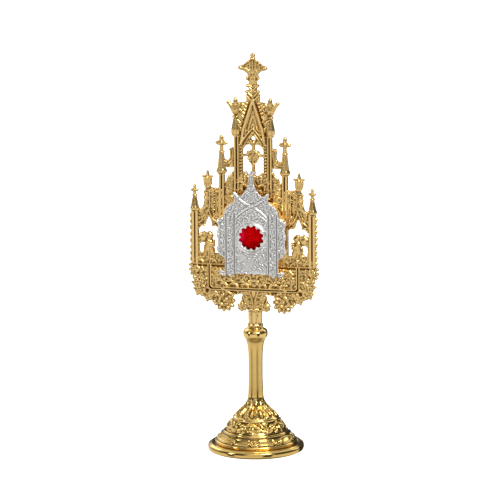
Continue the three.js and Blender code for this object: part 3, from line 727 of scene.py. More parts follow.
def scattered(i, j):
    """A fixed pseudo-random number from 0 to 1 for each place in a grid."""
    return np.mod(np.sin(i * 12.9898 + j * 78.233) * 43758.5453, 1.0)


def curl_ground(x, z, pitch, radius, stroke, fans):
    """Spirals and a share of leaf fans, uneven in size and hand, with leaf strokes between them."""
    rows = pitch * 0.866
    height = np.zeros_like(x)
    for dj in (-1, 0, 1):
        j = np.round(z / rows) + dj
        for di in (-1, 0, 1):
            i = np.round(x / pitch - 0.5 * np.mod(j, 2)) + di
            chance, other = scattered(i, j), scattered(j + 7, i + 3)
            u = x - (i + 0.5 * np.mod(j, 2) + 0.3 * (chance - 0.5)) * pitch
            v = z - (j + 0.3 * (other - 0.5)) * rows
            turn = other * math.tau
            u, v = u * np.cos(turn) - v * np.sin(turn), u * np.sin(turn) + v * np.cos(turn)
            size = radius * (0.8 + 0.4 * chance)
            curl = spiral_ridge(u, v, size, np.where(chance > 0.5, 1, -1), stroke)
            height = np.maximum(height, np.where(other < fans, leaf_fan(u, v, size * 0.8), curl))
    strokes = 0.5 + 0.5 * np.sin(2.6 * x + 1.7 * np.sin(0.9 * z) + 1.1 * z)
    return np.maximum(height, 0.5 * strokes * smooth_step(0.5, 0.1, height))


GROOVES = (  # beside mouldings and pillars, right half: both ends and half width of each
    ((0.9, 203.6), (6.6, 186), 0.42), ((6.6, 186), (7.7, 178), 0.42),
    ((9.5, 183), (9.5, 147), 0.42), ((22.6, 150), (22.6, 137), 0.35), ((5.2, 84), (8.4, 91.4), 0.4),
    ((25.6, 107), (25.6, 95), 0.4), ((22.6, 93.3), (24.6, 93.4), 0.3),
    ((24.6, 93.4), (25.6, 95), 0.4), ((15, 106.3), (35.6, 106.3), 0.3),
    ((4.8, 151.6), (8.8, 150.8), 1.0), ((10.2, 148.6), (10.6, 145.6), 0.7),
    ((12.8, 91.8), (10.2, 91.2), 0.5), ((26.4, 91.6), (27.6, 90.6), 0.6),
    ((31.6, 103), (32.2, 101.4), 0.5), ((22.6, 101.6), (21, 99.6), 0.5),
    ((9.8, 98.6), (8.4, 97), 0.5), ((1.6, 102.4), (3.4, 103.6), 0.5),
    ((15.8, 98.6), (14.6, 96.8), 0.5),
)


def groove_depth(x, z):
    """1 in the middle of a groove, 0 away from all of them."""
    depth = np.zeros_like(x)
    for (x0, z0), (x1, z1), half in GROOVES:
        length2 = (x1 - x0) ** 2 + (z1 - z0) ** 2
        share = np.clip(((x - x0) * (x1 - x0) + (z - z0) * (z1 - z0)) / length2, 0, 1)
        away = np.hypot(x - along(x0, x1, share), z - along(z0, z1, share))
        depth = np.maximum(depth, dab(away, half))
    return depth


def leafy_ground(x, z):
    """Relief of the front's bare grounds: curls, combed leaves on the gable, and the grooves."""
    x = np.abs(x)
    groove = groove_depth(x, z)
    curls = 0.5 * curl_ground(x, z, pitch=6.2, radius=4.3, stroke=2.5, fans=0.7)
    rake = x + 0.33 * (z - 203)
    lines, leaves = 0.5 + 0.5 * np.cos(rake * 4.4), 0.5 + 0.5 * np.cos(2.6 * z - 2.1 * x)
    combed = np.where(rake < 0, 0.3 * lines, 0.6 * leaves)
    gable = smooth_step(184.5, 186.5, z) * smooth_step(206, 204, z)
    return along(curls, combed, gable) * (1 - groove) - 0.9 * groove


def chase(mesh, relief, depth, slack):
    """Lifts what faces the front about this depth by a relief of (x, z), all in millimetres."""
    points, normals = surface(mesh)
    x, y, z = (points / MM).T
    ground = (normals[:, 1] < FACING) & (y > depth - slack) & (y < depth + slack)
    points[ground, 1] -= relief(x[ground], z[ground]) * MM
    reshape_surface(mesh, points)


def soften(mesh):
    """Rounds the smallest steps of a skin."""
    bm = bmesh.new()
    bm.from_mesh(mesh)
    bmesh.ops.smooth_vert(
        bm, verts=bm.verts, factor=0.5, use_axis_x=True, use_axis_y=True, use_axis_z=True,
    )
    bm.to_mesh(mesh)
    bm.free()


# ---- silver front ----

PANEL_X, EDGE_X = 9.9, 14.6  # upright grooves beside the panel and inside the leafed edge
RING_R, RING_EDGE = 9.3, 9.6  # fine border round the bezel, on a smooth ring
EYELET_R, EYELET_STEPS = 8.2, 24  # hole behind the bezel
PLATE = 0.85


SILVER_OUTLINE = [  # right side, from the middle of its foot up to the finial
    (0, 103.6), (2.2, 103.2), (4.2, 103.9), (6.4, 103.2), (8.6, 103.8), (10.6, 103.1),
    (12.4, 102.3), (14.2, 103.2), (15.5, 104.2), (15.5, 112), (16.6, 113.2), (18.6, 114.2),
    (19.5, 116), (20, 118), (19.5, 120.4), (19.5, 122.6), (20, 125.4), (19.6, 128.4), (19.3, 131),
    (19.4, 132.8), (18.6, 134.8), (16.6, 136.1), (15.8, 137.2), (15.5, 139.2), (14.8, 141),
    (13.4, 142.8), (11.3, 144.4), (9.5, 145.4), (9.5, 147), (10.3, 148.8), (10.2, 151),
    (8.9, 150.4), (7.4, 148.9), (6.2, 148.6), (5, 149.7), (3.7, 151.1), (2.8, 152.6), (2.1, 154),
    (1.6, 155.6), (1.35, 158), (1.35, 161.2), (0, 161.8),
]
STRAP_X = [-10.4, -8, -6.2, -3.6, 0, 2.6, 5.6, 8.4, 9.8]
STRAP_Z = [151, 148, 146.2, 144.3, 142.9, 141.6, 139.5, 136.9, 135.4]


def silver_relief(x, z):
    """Chased curls over the plate with fine borders, strapwork and the smooth ring of the window."""
    ax = np.abs(x)
    out = np.hypot(x, z - WINDOW_Z)
    curls = 0.36 * curl_ground(ax, z, pitch=4.0, radius=2.6, stroke=1.5, fans=0.4)
    patches = np.sin(1.2 * x + 1.3 * np.sin(0.7 * z)) * np.sin(1.0 * z + 1.4 * np.sin(0.8 * x + 1))
    strokes = 0.5 + 0.5 * np.cos(3.2 * (z + 0.8 * x) + 1.8 * np.sin(0.9 * z - 0.7 * x))
    combed = 0.3 * smooth_step(-0.15, 0.5, patches) * strokes
    curls = along(curls, combed, smooth_step(119, 116, z) * smooth_step(9.6, 8.6, ax))
    curls = curls * smooth_step(155.6, 154.6, z)
    below = smooth_step(139, 137.5, z)
    border, groove = np.zeros_like(x), np.zeros_like(x)
    for line in (PANEL_X, EDGE_X):
        side = ax - line
        border = np.maximum(border, (dab(np.abs(side) - 0.55, 0.26)) * below)
        groove = np.maximum(groove, dab(side, 0.28) * below)
        curls = curls * (1 - dab(side, 0.55) * below)
    for hand in (-1, 1):
        strap = (z - np.interp(hand * x, STRAP_X, STRAP_Z)) * 0.85
        mask = smooth_step(-11, -10, hand * x) * smooth_step(9.8, 8.8, hand * x)
        border = np.maximum(border, smooth_step(0.75, 0.5, np.abs(strap)) * mask)
        groove = np.maximum(groove, dab(np.abs(strap) - 1.0, 0.25) * mask)
    arch = z - (139.5 - 0.035 * ax * ax - 0.25 * ax)
    inner = smooth_step(PANEL_X, PANEL_X - 1, ax)
    border = np.maximum(border, dab(arch, 0.3) * inner)
    height = np.maximum(curls, 0.42 * border) - 0.3 * groove
    return np.where(out < RING_EDGE, 0.3 * dab(out - RING_R, 0.35), height)


def cast_silver_front(voxel):
    """The plate, cut in two at the height of its round hole, with its edge and its chasing."""
    back = SILVER_HIGH.y
    face = back - PLATE
    c = Casting()
    low = [p for p in SILVER_OUTLINE if p[1] < WINDOW_Z]
    high = [p for p in SILVER_OUTLINE if p[1] >= WINDOW_Z]
    middle = EYELET_STEPS // 2
    edge = half_ring(WINDOW_Z, EYELET_R, EYELET_STEPS)
    c.slab(low + [(low[-1][0], WINDOW_Z)] + edge[middle:], back, face)
    c.slab([(high[0][0], WINDOW_Z)] + high + edge[:middle + 1], back, face)
    add_silver_edge(c, (back + face) / 2)
    c.mirror()
    piece = c.fuse("chased_silver_front", voxel)
    chase(piece.data, silver_relief, face, 0.2)
    return piece


def add_silver_edge(c, middle):
    """Corner scrolls, leaves on the shoulders and the thin fleur on the tip."""
    for x, z, r in ((17.2, 103.6, 1.3), (16, 102.8, 1.1), (12.5, 102.6, 1.1), (18, 105, 0.9)):
        c.bead(x, z, r, r, middle, 0.5)
    c.volute(17, 104.2, 1.5, 1.4, 1.2, 0.4, middle - 0.3)
    c.volute(8.4, 147.8, 1.5, 3.4, 1.2, 0.45, middle - 0.3)
    c.strand([(9.3, 145), (9.4, 147.4), (10.2, 150.4)], 0.5, 0.4, middle - 0.3)
    c.strand([(0, 160.8), (1.5, 162.1), (2.8, 162.5), (4.0, 162.3)], 1.0, 0.5, middle)
    c.strand([(0, 155.4), (0, 162.7)], 1.0, 0.6, middle - 0.25)
    for z in (117.6, 125.4, 133.4):
        c.bead(19.5, z, 0.75, 1.6, middle, 0.5)
    for i in range(7):
        c.bead(16.9 + 0.2 * (i % 2), 115.6 + 3.2 * i, 0.9, 1.1, middle - 0.1, 0.5, 0.6)


# ---- foot ----

KNOP_PROFILE = [
    (0, FOOT_HIGH.z), (4.2, FOOT_HIGH.z), (4.5, 70.9), (4.6, 70.5), (5.2, 70.2), (6.1, 69.8),
    (6.75, 69.1), (7.0, 68.1), (7.0, 66.9), (6.75, 65.9), (6.3, 65.0), (5.75, 64.2), (5.3, 63.2),
    (4.95, 62), (4.6, 60.4), (4.3, 58.4), (4.15, 56),
]
STEM_PROFILE = [(4.08, 54), (4.02, 50), (4.02, 44), (4.08, 39.5), (4.2, 35.5)]
FLARE_PROFILE = [
    (4.35, 32.4), (4.5, 30.4), (4.9, 28.6), (5.8, 26.6), (7.6, 24.5), (9.8, 22.6), (11.3, 21),
    (12.2, 19.9),
]
BAND_PROFILE = [
    (12.4, 19.6), (12.9, 19.3), (13.3, 18.8), (13.3, 18.3), (13.1, 17.9), (14.5, 15.6),
    (16.1, 13.2), (17.0, 11.8), (17.1, 11.2), (17.5, 11.0), (17.9, 11.5), (18.4, 11.2),
    (18.6, 10.6), (18.5, 10.2), (19.3, 9.2), (20.8, 7.5), (22.3, 6.0), (22.9, 5.9), (23.3, 5.4),
    (23.2, 4.7), (23.0, 3.9),
]
RIM_PROFILE = [
    (23.5, 3.75), (24.0, 4.25), (25.5, 4.2), (25.9, 3.75), (26.4, 3.6), (27.1, 3.2), (27.38, 2.2),
    (27.3, 1.1), (27.0, 0.4), (26.4, 0),
]
UNDER_PROFILE = [
    (24.6, 0), (24.3, 0.3), (24.2, 1.4), (20, 4.4), (14.9, 10.6), (10.4, 16.4), (5, 17.4),
    (0, 17.4),
]
FLUTES_Z, SCROLLS_Z, PLAQUES_Z = (19.9, 29.5), (11.9, 17.9), (5.9, 9.9)  # where the foot is chased
SCROLL_R, PLAQUE_R = (17.1, 13.2), 20.8  # radius there
PLAQUE_TURN = math.radians(-61)  # where the first tablet stands
CHASED_Z = (5, 33)


def finely(profile, step):
    """The same profile with points no further apart than step."""
    fine = []
    for (r0, z0), (r1, z1) in zip(profile, profile[1:]):
        parts = max(1, round(math.hypot(r1 - r0, z1 - z0) / step))
        fine += [(along(r0, r1, i / parts), along(z0, z1, i / parts)) for i in range(parts)]
    return fine + [profile[-1]]


def nearest_turn(angle, count, offset=0.0):
    """Angle from the middle of the nearest of count repeats, and which one it is."""
    pitch = math.tau / count
    index = np.round((angle - offset) / pitch)
    return angle - offset - index * pitch, index


def zone(height, limits):
    """Share of the way up between two heights, and which points lie there."""
    share = (height - limits[0]) / (limits[1] - limits[0])
    return share, (share > 0) & (share < 1)


def flute_depth(angle, height, count):
    """Lancet hollows between sharp ribs on the flare, round at the foot and pointed at the top."""
    share, inside = zone(height, FLUTES_Z)
    turn, _ = nearest_turn(angle, count)
    half = math.pi / count
    width = half * 0.84 * np.sqrt(np.clip(share * 6, 0.01, 1)) * (1 - 0.35 * share)
    hollow = np.clip(1 - (turn / width) ** 2, 0, 1)
    deep = 1.3 * np.sqrt(hollow) * smooth_step(1, 0.5, share)
    rib = 0.3 * dab(np.abs(turn) - half, half * 0.2) * smooth_step(1, 0.6, share)
    return np.where(inside, rib - deep, 0)


def scroll_height(angle, height, count):
    """Running acanthus scroll on the upper band."""
    share, inside = zone(height, SCROLLS_Z)
    radius = along(*SCROLL_R, share)
    turn, index = nearest_turn(angle, count)
    hand = np.where(np.mod(index, 2) > 0.5, 1, -1)
    u, v = turn * radius, (share - 0.5) * 7.0
    out = np.hypot(u, v + 0.6 * hand)
    closed = smooth_step(-0.2, 0.5, np.cos(np.arctan2(v + 0.6 * hand, u) - 0.5 * hand) + 0.5)
    curl = np.maximum(dab(out - 2.0, 0.65) * closed, dab(out, 0.75))
    wave = 2.1 * hand * np.sin(turn * count / 2)
    stem = dab(v - wave, 0.8)
    half = math.pi * radius / count
    leaf = dab(np.abs(u) - half, 1.1) * (0.55 + 0.45 * np.cos(v * 1.7 + 1.2 * hand))
    edge = smooth_step(0, 0.07, share) * smooth_step(1, 0.93, share)
    return np.where(inside, 1.05 * np.maximum(np.maximum(curl, stem * 0.85), leaf) * edge, 0)


def plaque_height(angle, height, count):
    """Smooth tablets with a raised edge on the lower band, and leaf curls between them."""
    share, inside = zone(height, PLAQUES_Z)
    turn, _ = nearest_turn(angle, count, PLAQUE_TURN)
    u, v = turn * PLAQUE_R, (share - 0.5) * 5.4
    inset = np.hypot(np.clip(np.abs(u) - 3.1, 0, None), v) - 1.9
    tablet = smooth_step(0.35, -0.05, inset) * (0.45 + 0.55 * dab(inset + 0.15, 0.32))
    side = np.abs(u) - 6.4
    out = np.hypot(side, v + 0.3)
    curl = np.maximum(dab(out - 1.3, 0.4), dab(out, 0.5))
    edge = smooth_step(0, 0.08, share) * smooth_step(1, 0.92, share)
    return np.where(inside, 0.85 * np.maximum(tablet, curl * 0.9) * edge, 0)


def model_foot(sizes):
    """The foot with its stem and knop, turned in one and chased below the stem."""
    profile = (
        finely(KNOP_PROFILE, 0.6) + finely(STEM_PROFILE, 0.8) + finely(FLARE_PROFILE, 0.34)
        + finely(BAND_PROFILE, 0.3) + finely(RIM_PROFILE, 0.4) + UNDER_PROFILE
    )
    piece = new_piece("gilt_foot", spun(profile, sizes.foot_steps))
    points, normals = surface(piece.data)
    x, y, z = points.T
    angle = np.arctan2(y, x)
    lift = (
        flute_depth(angle + math.pi / 2, z, sizes.flutes)
        + scroll_height(angle, z, sizes.scrolls)
        + plaque_height(angle, z, sizes.plaques)
    )
    outside = (normals[:, 2] > -0.2) & zone(z, CHASED_Z)[1]
    points[outside] += normals[outside] * lift[outside, None]
    reshape_surface(piece.data, points * MM)
    piece.data.shade_smooth()
    return piece


# ---- window ----

RING_STEPS, PANE_STEPS, DOME_STEPS = 96, 72, 12
TEETH_Y = BEZEL_LOW.y + 0.3  # front of the ring, behind the teeth
TOOTH = [(-1.85, 7.5), (1.85, 7.5), (0.35, 6.3), (0, 5.9), (-0.35, 6.3)]


def ring_profile():
    """Section of the bezel: flange on the plate, rounded wall and the lip that the teeth grow from."""
    plate, front, back = PLATE - SILVER_HIGH.y, -TEETH_Y, -BEZEL_HIGH.y
    return [
        (7.45, back), (7.9, back), (7.9, plate + 0.05), (8.65, plate + 0.05), (8.7, plate + 0.2),
        (8.4, plate + 0.5), (8.0, front - 0.12), (7.7, front), (7.35, front - 0.05),
        (7.2, front - 0.2), (7.3, front - 0.4), (7.45, front - 0.45), (7.45, back),
    ]


def model_bezel(sizes):
    """The ring with its pointed teeth, the first of them at the top."""
    bm = spun(ring_profile(), RING_STEPS, (0, 0, WINDOW_Z), FORWARD)
    for i in range(sizes.teeth):
        turn = Matrix.Rotation(math.tau * i / sizes.teeth, 4, "Y")
        place = Matrix.Translation((0, 0, WINDOW_Z)) @ turn
        tooth = Casting()
        tooth.slab(TOOTH, TEETH_Y + 0.4, TEETH_Y + 0.05)
        bmesh.ops.bevel(
            tooth.bm, geom=tooth.bm.edges[:], offset=0.08, segments=1, profile=0.5,
            affect="EDGES", material=-1,
        )
        bmesh.ops.transform(tooth.bm, matrix=place, verts=tooth.bm.verts)
        add_copy(bm, tooth.bm)
        tooth.bm.free()
    bmesh.ops.scale(bm, vec=(MM, MM, MM), verts=bm.verts)
    bmesh.ops.recalc_face_normals(bm, faces=bm.faces)
    piece = new_piece("toothed_bezel", bm)
    piece.data.shade_smooth()
    piece.data.set_sharp_from_angle(angle=math.radians(40))
    return piece


def model_disc(name, node, crown):
    """A round pane or pad whose front face swells by crown towards the middle."""
    low, high = reach(node)
    radius, depth = (high.x - low.x) / 2, high.y - low.y
    profile = [(0, 0), (radius * 0.98, 0), (radius, 0.12), (radius, depth - crown)]
    profile += [
        (radius * math.cos(a), depth - crown + crown * math.sin(a))
        for a in (math.pi / 2 * i / DOME_STEPS for i in range(1, DOME_STEPS + 1))
    ]
    bm = spun(profile, PANE_STEPS, (0, high.y, WINDOW_Z), FORWARD)
    bmesh.ops.scale(bm, vec=(MM, MM, MM), verts=bm.verts)
    piece = new_piece(name, bm)
    piece.data.shade_smooth()
    return piece


# ---- finishes ----


class Socket:
    """A shader output that arithmetic can be written on."""

    def __init__(self, finish, output):
        self.finish, self.output = finish, output

    def math(self, operation, *values):
        inputs = dict(enumerate((self, *values)))
        return self.finish.node("ShaderNodeMath", {"operation": operation}, inputs)

    def flipped(self, operation, value):
        return self.finish.node("ShaderNodeMath", {"operation": operation}, {0: value, 1: self})

    def __add__(self, value):
        return self.math("ADD", value)

    def __sub__(self, value):
        return self.math("SUBTRACT", value)

    def __mul__(self, value):
        return self.math("MULTIPLY", value)

    def __rsub__(self, value):
        return self.flipped("SUBTRACT", value)

    __radd__, __rmul__ = __add__, __mul__

    def clamped(self):
        return self.finish.node("ShaderNodeClamp", {}, {"Value": self})


class Nodes:
    """A node tree under construction."""

    def __init__(self, tree):
        self.tree = tree

    def raw(self, kind, settings, inputs):
        node = self.tree.nodes.new(kind)
        for name, value in settings.items():
            setattr(node, name, value)
        for name, value in inputs.items():
            self.feed(node.inputs[name], value)
        return node

    def node(self, kind, settings, inputs, output=0):
        return Socket(self, self.raw(kind, settings, inputs).outputs[output])

    def feed(self, target, value):
        if isinstance(value, Socket):
            self.tree.links.new(value.output, target)
        elif isinstance(value, (int, float)):
            target.default_value = value
        else:
            target.default_value = tuple(value)

    def blend(self, factor, first, second):
        """A colour between two others."""
        node = self.raw("ShaderNodeMix", {"data_type": "RGBA"}, {})
        for index, value in ((0, factor), (6, first), (7, second)):
            self.feed(node.inputs[index], value)
        return Socket(self, node.outputs[2])


class Finish(Nodes):
    """A material under construction."""

    def __init__(self, name):
        self.material = bpy.data.materials.new(name)
        self.material.use_nodes = True
        super().__init__(self.material.node_tree)
        self.shader = self.tree.nodes["Principled BSDF"]

    def place(self):
        """Object coordinates, in metres."""
        return self.node("ShaderNodeTexCoord", {}, {}, "Object")

    def measure(self, axis):
        """X, Y or Z in metres, Z being the height over the table."""
        return self.node("ShaderNodeSeparateXYZ", {}, {"Vector": self.place()}, axis)

    def noise(self, grains_per_mm, detail=2, roughness=0.5):
        inputs = {"Scale": grains_per_mm / MM, "Detail": detail, "Roughness": roughness}
        return self.node("ShaderNodeTexNoise", {}, {"Vector": self.place(), **inputs})

    def hollow(self):
        """1 in hollows, 0 on edges and knobs."""
        return self.node("ShaderNodeAttribute", {"attribute_name": "hollow"}, {}, "Fac")

    def bump(self, height, depth_mm, strength):
        inputs = {"Height": height, "Distance": depth_mm * MM, "Strength": strength}
        return self.node("ShaderNodeBump", {}, inputs, "Normal")

    def set(self, **inputs):
        for name, value in inputs.items():
            self.feed(self.shader.inputs[name.replace("_", " ")], value)
        return self.material


def rgba(colour):
    return (*colour, 1.0)


def matte_gilt(colours):
    finish = Finish("matte_gilt")
    hollow = finish.hollow()
    cloudy = finish.noise(0.18, 3)
    grain = finish.noise(2.2, 3, 0.65)
    # Painted shade: the hollows get a darker gilt colour, varied by a cloudy noise; they are rougher
    # there too.
    hollow_shade = (hollow * 1.6 - 0.5 + (cloudy - 0.5) * 0.4).clamped()
    # Painted shade: the deepest hollows turn dark brown.
    deep = (hollow * 4.0 - 3.2).clamped()
    gilt = finish.blend(hollow_shade, rgba(colours.gilt), rgba(colours.gilt_hollow_shade))
    return finish.set(
        Base_Color=finish.blend(deep, gilt, rgba(colours.gilt_deep_shade)),
        Metallic=1.0,
        Roughness=hollow_shade * 0.22 + cloudy * 0.12 + 0.13,
        Normal=finish.bump(grain, 0.05, 0.7),
    )


def polished_gilt(colours):
    finish = Finish("polished_gilt")
    hollow = finish.hollow()
    cloudy = finish.noise(0.12)
    waves = finish.noise(0.3)
    height = finish.measure("Z")
    stem = ramp(height, 30 * MM, 38 * MM) * ramp(height, 66.5 * MM, 63 * MM)
    # Painted shade: the hollows of the foot get a darker colour, less of it from the top of the stem
    # up; they are rougher there too.
    hollow_shade = (hollow * 2.2 - 0.8).clamped() * (1 - ramp(height, 50 * MM, 56 * MM) * 0.75)
    # Painted reflection of a shaded table: the side band at the edge of the foot, below 5.6 mm, is
    # darkened towards the colour of the hollows.
    rim_shade = ramp(height, 5.6 * MM, 4.6 * MM) * 0.45
    # Painted shade: the deepest hollows turn dark brown.
    deep = (hollow * 4.0 - 3.1).clamped() * 0.85
    hollow_or_rim_shade = hollow_shade.math("MAXIMUM", rim_shade)
    gilt = finish.blend(hollow_or_rim_shade, rgba(colours.polished), rgba(colours.polished_hollow_shade))
    return finish.set(
        Base_Color=finish.blend(deep, gilt, rgba(colours.gilt_deep_shade)),
        Metallic=1.0,
        Roughness=hollow_shade * 0.1 + cloudy * 0.08 + stem * 0.22 + 0.06,
        Normal=finish.bump(waves, 0.1, 0.4),
    )


def chased_silver(colours):
    finish = Finish("chased_silver")
    hollow = finish.hollow()
    cloudy = finish.noise(0.2)
    punched = finish.noise(1.5, 3, 0.6)
    dull = (hollow * 2.0 - 0.6 + (cloudy - 0.5) * 0.5).clamped()
    return finish.set(
        Base_Color=finish.blend(dull, rgba(colours.silver), rgba(colours.silver_hollow)),
        Metallic=1.0,
        Roughness=dull * 0.2 + cloudy * 0.14 + 0.2,
        Normal=finish.bump(punched, 0.16, 0.9),
    )


def red_velvet(colours):
    finish = Finish("red_velvet")
    fibres = finish.noise(5.0, 3, 0.7)
    crush = finish.noise(0.35)
    # Darker towards the bottom of the cloth.
    towards_bottom = ramp(finish.measure("Z"), (WINDOW_Z + 1) * MM, (WINDOW_Z - 7) * MM)
    shade = (fibres * 0.4 + crush * 2.0 - towards_bottom * 0.35 - 0.68).clamped()
    colour = finish.blend(shade, rgba(colours.velvet_shadow), rgba(colours.velvet))
    # Painted highlight: a pink sheen on the left side of the cloth, weaker towards the bottom.
    painted_highlight = ramp(finish.measure("X"), -3.5 * MM, -6.2 * MM) * (1 - towards_bottom * 0.7)
    colour = finish.blend(painted_highlight * 0.8, colour, rgba(colours.velvet_painted_highlight))
    return finish.set(
        Base_Color=colour,
        Roughness=fibres * 0.2 + 0.7,
        Sheen_Weight=0.06,
        Sheen_Tint=(1.0, 0.0, 0.03, 1.0),
        Specular_IOR_Level=0.0,
        Normal=finish.bump(fibres, 0.12, 0.6),
    )


def clear_glass():
    finish = Finish("clear_glass")
    smears = finish.noise(0.15)
    finish.material.surface_render_method = "BLENDED"
    return finish.set(
        Base_Color=(0.02, 0.02, 0.02, 1.0),
        IOR=1.5,
        Roughness=smears * 0.05 + 0.01,
        Alpha=smears * 0.012,
    )


def plain_floor():
    finish = Finish("white_paper")
    fibres = finish.noise(0.5)
    colour = finish.blend(fibres, (0.9, 0.9, 0.9, 1), (0.94, 0.94, 0.94, 1))
    return finish.set(
        Base_Color=colour, Roughness=0.9, Specular_IOR_Level=0.1,
        Emission_Color=(1, 1, 1, 1), Emission_Strength=0.8,
    )


def ramp(value, low, high):
    """Smooth 0 to 1 between two values of a socket."""
    inputs = {"Value": value, "From Min": low, "From Max": high}
    return value.finish.node("ShaderNodeMapRange", {"interpolation_type": "SMOOTHSTEP"}, inputs)


DARK_FIGURES = ((40, 11, 0.25), (-52, 9, 0.25), (165, 27, 0.45))  # degrees round, half width, top


def studio_light(world):
    """What the metal mirrors: pale table, softboxes with dark gaps between them, and dark figures."""
    world.use_nodes = True
    nodes = Nodes(world.node_tree)
    background = world.node_tree.nodes["Background"]
    direction = nodes.node("ShaderNodeTexCoord", {}, {}, "Generated")
    way = nodes.raw("ShaderNodeSeparateXYZ", {}, {"Vector": direction})
    x, y, z = (Socket(nodes, way.outputs[i]) for i in range(3))
    turn = x.math("ARCTAN2", 0 - y)
    table = ramp(z, 0.02, -0.1)
    low = ramp(z, -0.95, -0.55) * 0.68 + 0.15
    windows = ramp((turn * 2.5 - 0.9).math("COSINE"), -0.3, 0.5)
    overhead = ramp(z, 0.78, 0.94)
    high = (overhead * 0.72 + (1 - overhead) * windows) * ramp(z, 0.0, 0.2) * 0.74 + 0.08
    figures = 0
    for azimuth, half, top in DARK_FIGURES:
        side = (turn - math.radians(azimuth)).math("ABSOLUTE")
        upright = ramp(z, -0.5, -0.4) * ramp(z, top + 0.06, top - 0.02)
        figures = ramp(side, math.radians(half + 3), math.radians(half - 2)) * upright + figures
    room = (table * low + (1 - table) * high) * (1 - figures * 0.93)
    seen = nodes.node("ShaderNodeLightPath", {}, {}, "Is Camera Ray")
    nodes.feed(background.inputs["Color"], (1, 1, 1, 1))
    nodes.feed(background.inputs["Strength"], seen + (1 - seen) * room)


# ---- the add-on ----


def length_property(name, description, default, least):
    return FloatProperty(
        name=name, description=description, default=default, min=least, unit="LENGTH", precision=5,
    )


def count_property(name, description, default, least):
    return IntProperty(name=name, description=description, default=default, min=least)


def angle_property(name, description, degrees):
    default = math.radians(degrees)
    return FloatProperty(name=name, description=description, default=default, subtype="ANGLE")


def colour_property(name, description, default):
    return FloatVectorProperty(
        name=name, description=description, default=default, min=0, max=1, size=3, subtype="COLOR",
    )


class ReliquarySizes(bpy.types.PropertyGroup):
    gilt_voxel: length_property("Gilt detail", "Smallest detail of the front", 0.32 * MM, 0.1 * MM)
    silver_voxel: length_property("Silver detail", "The same in silver", 0.25 * MM, 0.1 * MM)
    foot_steps: count_property("Foot steps", "Steps that the foot is turned in", 432, 24)
    flutes: count_property("Flutes", "Lancet hollows round the flare", 12, 3)
    scrolls: count_property("Scrolls", "Scrolls round the upper band", 10, 4)
    plaques: count_property("Tablets", "Tablets round the lower band", 9, 3)
    teeth: count_property("Teeth", "Teeth of the bezel", 12, 4)
    camera_distance: length_property("Camera distance", "From lens to reliquary", 4.6, 0.5)
    camera_side: angle_property("Camera side", "How far round to the right it stands", 12.4)
    camera_rise: angle_property("Camera rise", "How far the camera looks down", 12.6)
    camera_roll: angle_property("Camera roll", "Turn of the camera about its view", -0.35)
    field: length_property("Field", "Width of the view at the reliquary", 0.283, 0.05)


class ReliquaryColours(bpy.types.PropertyGroup):
    gilt: colour_property("Gilt", "Matt gilding on what stands out", (0.93, 0.64, 0.25))
    # Painted shade: the gilt colour of the hollows.
    gilt_hollow_shade: colour_property("Gilt hollows", "Matt gilding in the hollows", (0.74, 0.465, 0.15))
    # Painted shade: the dark brown of the deepest hollows.
    gilt_deep_shade: colour_property("Gilt depths", "Dark bottom of the deepest hollows", (0.1, 0.045, 0.008))
    polished: colour_property("Polished gilt", "Gilding of the foot", (0.93, 0.64, 0.215))
    # Painted shade in the hollows of the foot and on the lowest side band of its edge.
    polished_hollow_shade: colour_property("Polished hollows", "Gilding in its hollows", (0.64, 0.41, 0.105))
    silver: colour_property("Silver", "Chased silver", (0.97, 0.955, 0.93))
    silver_hollow: colour_property("Silver hollows", "Tarnish in the chasing", (0.42, 0.41, 0.39))
    velvet: colour_property("Velvet", "Lit pile of the cloth", (0.5, 0.0, 0.001))
    velvet_shadow: colour_property("Velvet shadow", "Shaded pile of the cloth", (0.2, 0.0, 0.001))
    # Painted highlight: the pink of the sheen on the left of the cloth.
    velvet_painted_highlight: colour_property("Velvet nap", "Pile that is brushed flat", (0.8, 0.006, 0.06))


class PieceOperator:
    """What the operators share."""

    bl_options = {"REGISTER", "UNDO"}

    @property
    def sizes(self):
        return bpy.context.scene.reliquary_sizes

    @property
    def colours(self):
        return bpy.context.scene.reliquary_colours


class RELIQUARY_OT_front(PieceOperator, bpy.types.Operator):
    """Casts the gilt front: tower, wings with their figures, and bracket"""

    bl_idname = "reliquary.front"
    bl_label = "Gilt front"

    def execute(self, context):
        finish = matte_gilt(self.colours)
        for name, forward, makers in FRONT_PARTS:
            piece = cast_front(name, forward, makers, self.sizes.gilt_voxel)
            dress(piece, "front", finish)
        return {"FINISHED"}


class RELIQUARY_OT_foot(PieceOperator, bpy.types.Operator):
    """Turns and chases the polished foot with its stem and knop"""

    bl_idname = "reliquary.foot"
    bl_label = "Foot"

    def execute(self, context):
        dress(model_foot(self.sizes), "foot", polished_gilt(self.colours))
        return {"FINISHED"}


class RELIQUARY_OT_silver_front(PieceOperator, bpy.types.Operator):
    """Chases the silver front"""

    bl_idname = "reliquary.silver_front"
    bl_label = "Silver front"

    def execute(self, context):
        piece = cast_silver_front(self.sizes.silver_voxel)
        dress(piece, "silver_front", chased_silver(self.colours))
        return {"FINISHED"}


class RELIQUARY_OT_window(PieceOperator, bpy.types.Operator):
    """Sets the bezel, the glass and the red cloth in the case"""

    bl_idname = "reliquary.window"
    bl_label = "Window"

    def execute(self, context):
        dress(model_bezel(self.sizes), "bezel", chased_silver(self.colours))
        dress(model_disc("glass_pane", "glass", 0.2), "glass", clear_glass())
        cloth = model_disc("cloth_pad", "relic_cloth", 0.9)
        dress(cloth, "relic_cloth", red_velvet(self.colours))
        return {"FINISHED"}


class RELIQUARY_OT_case(PieceOperator, bpy.types.Operator):
    """Gilds the case, which keeps its own shape"""

    bl_idname = "reliquary.case"
    bl_label = "Case"

    def execute(self, context):
        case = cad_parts["case"]
        case.data.materials.clear()
        case.data.materials.append(matte_gilt(self.colours))
        return {"FINISHED"}


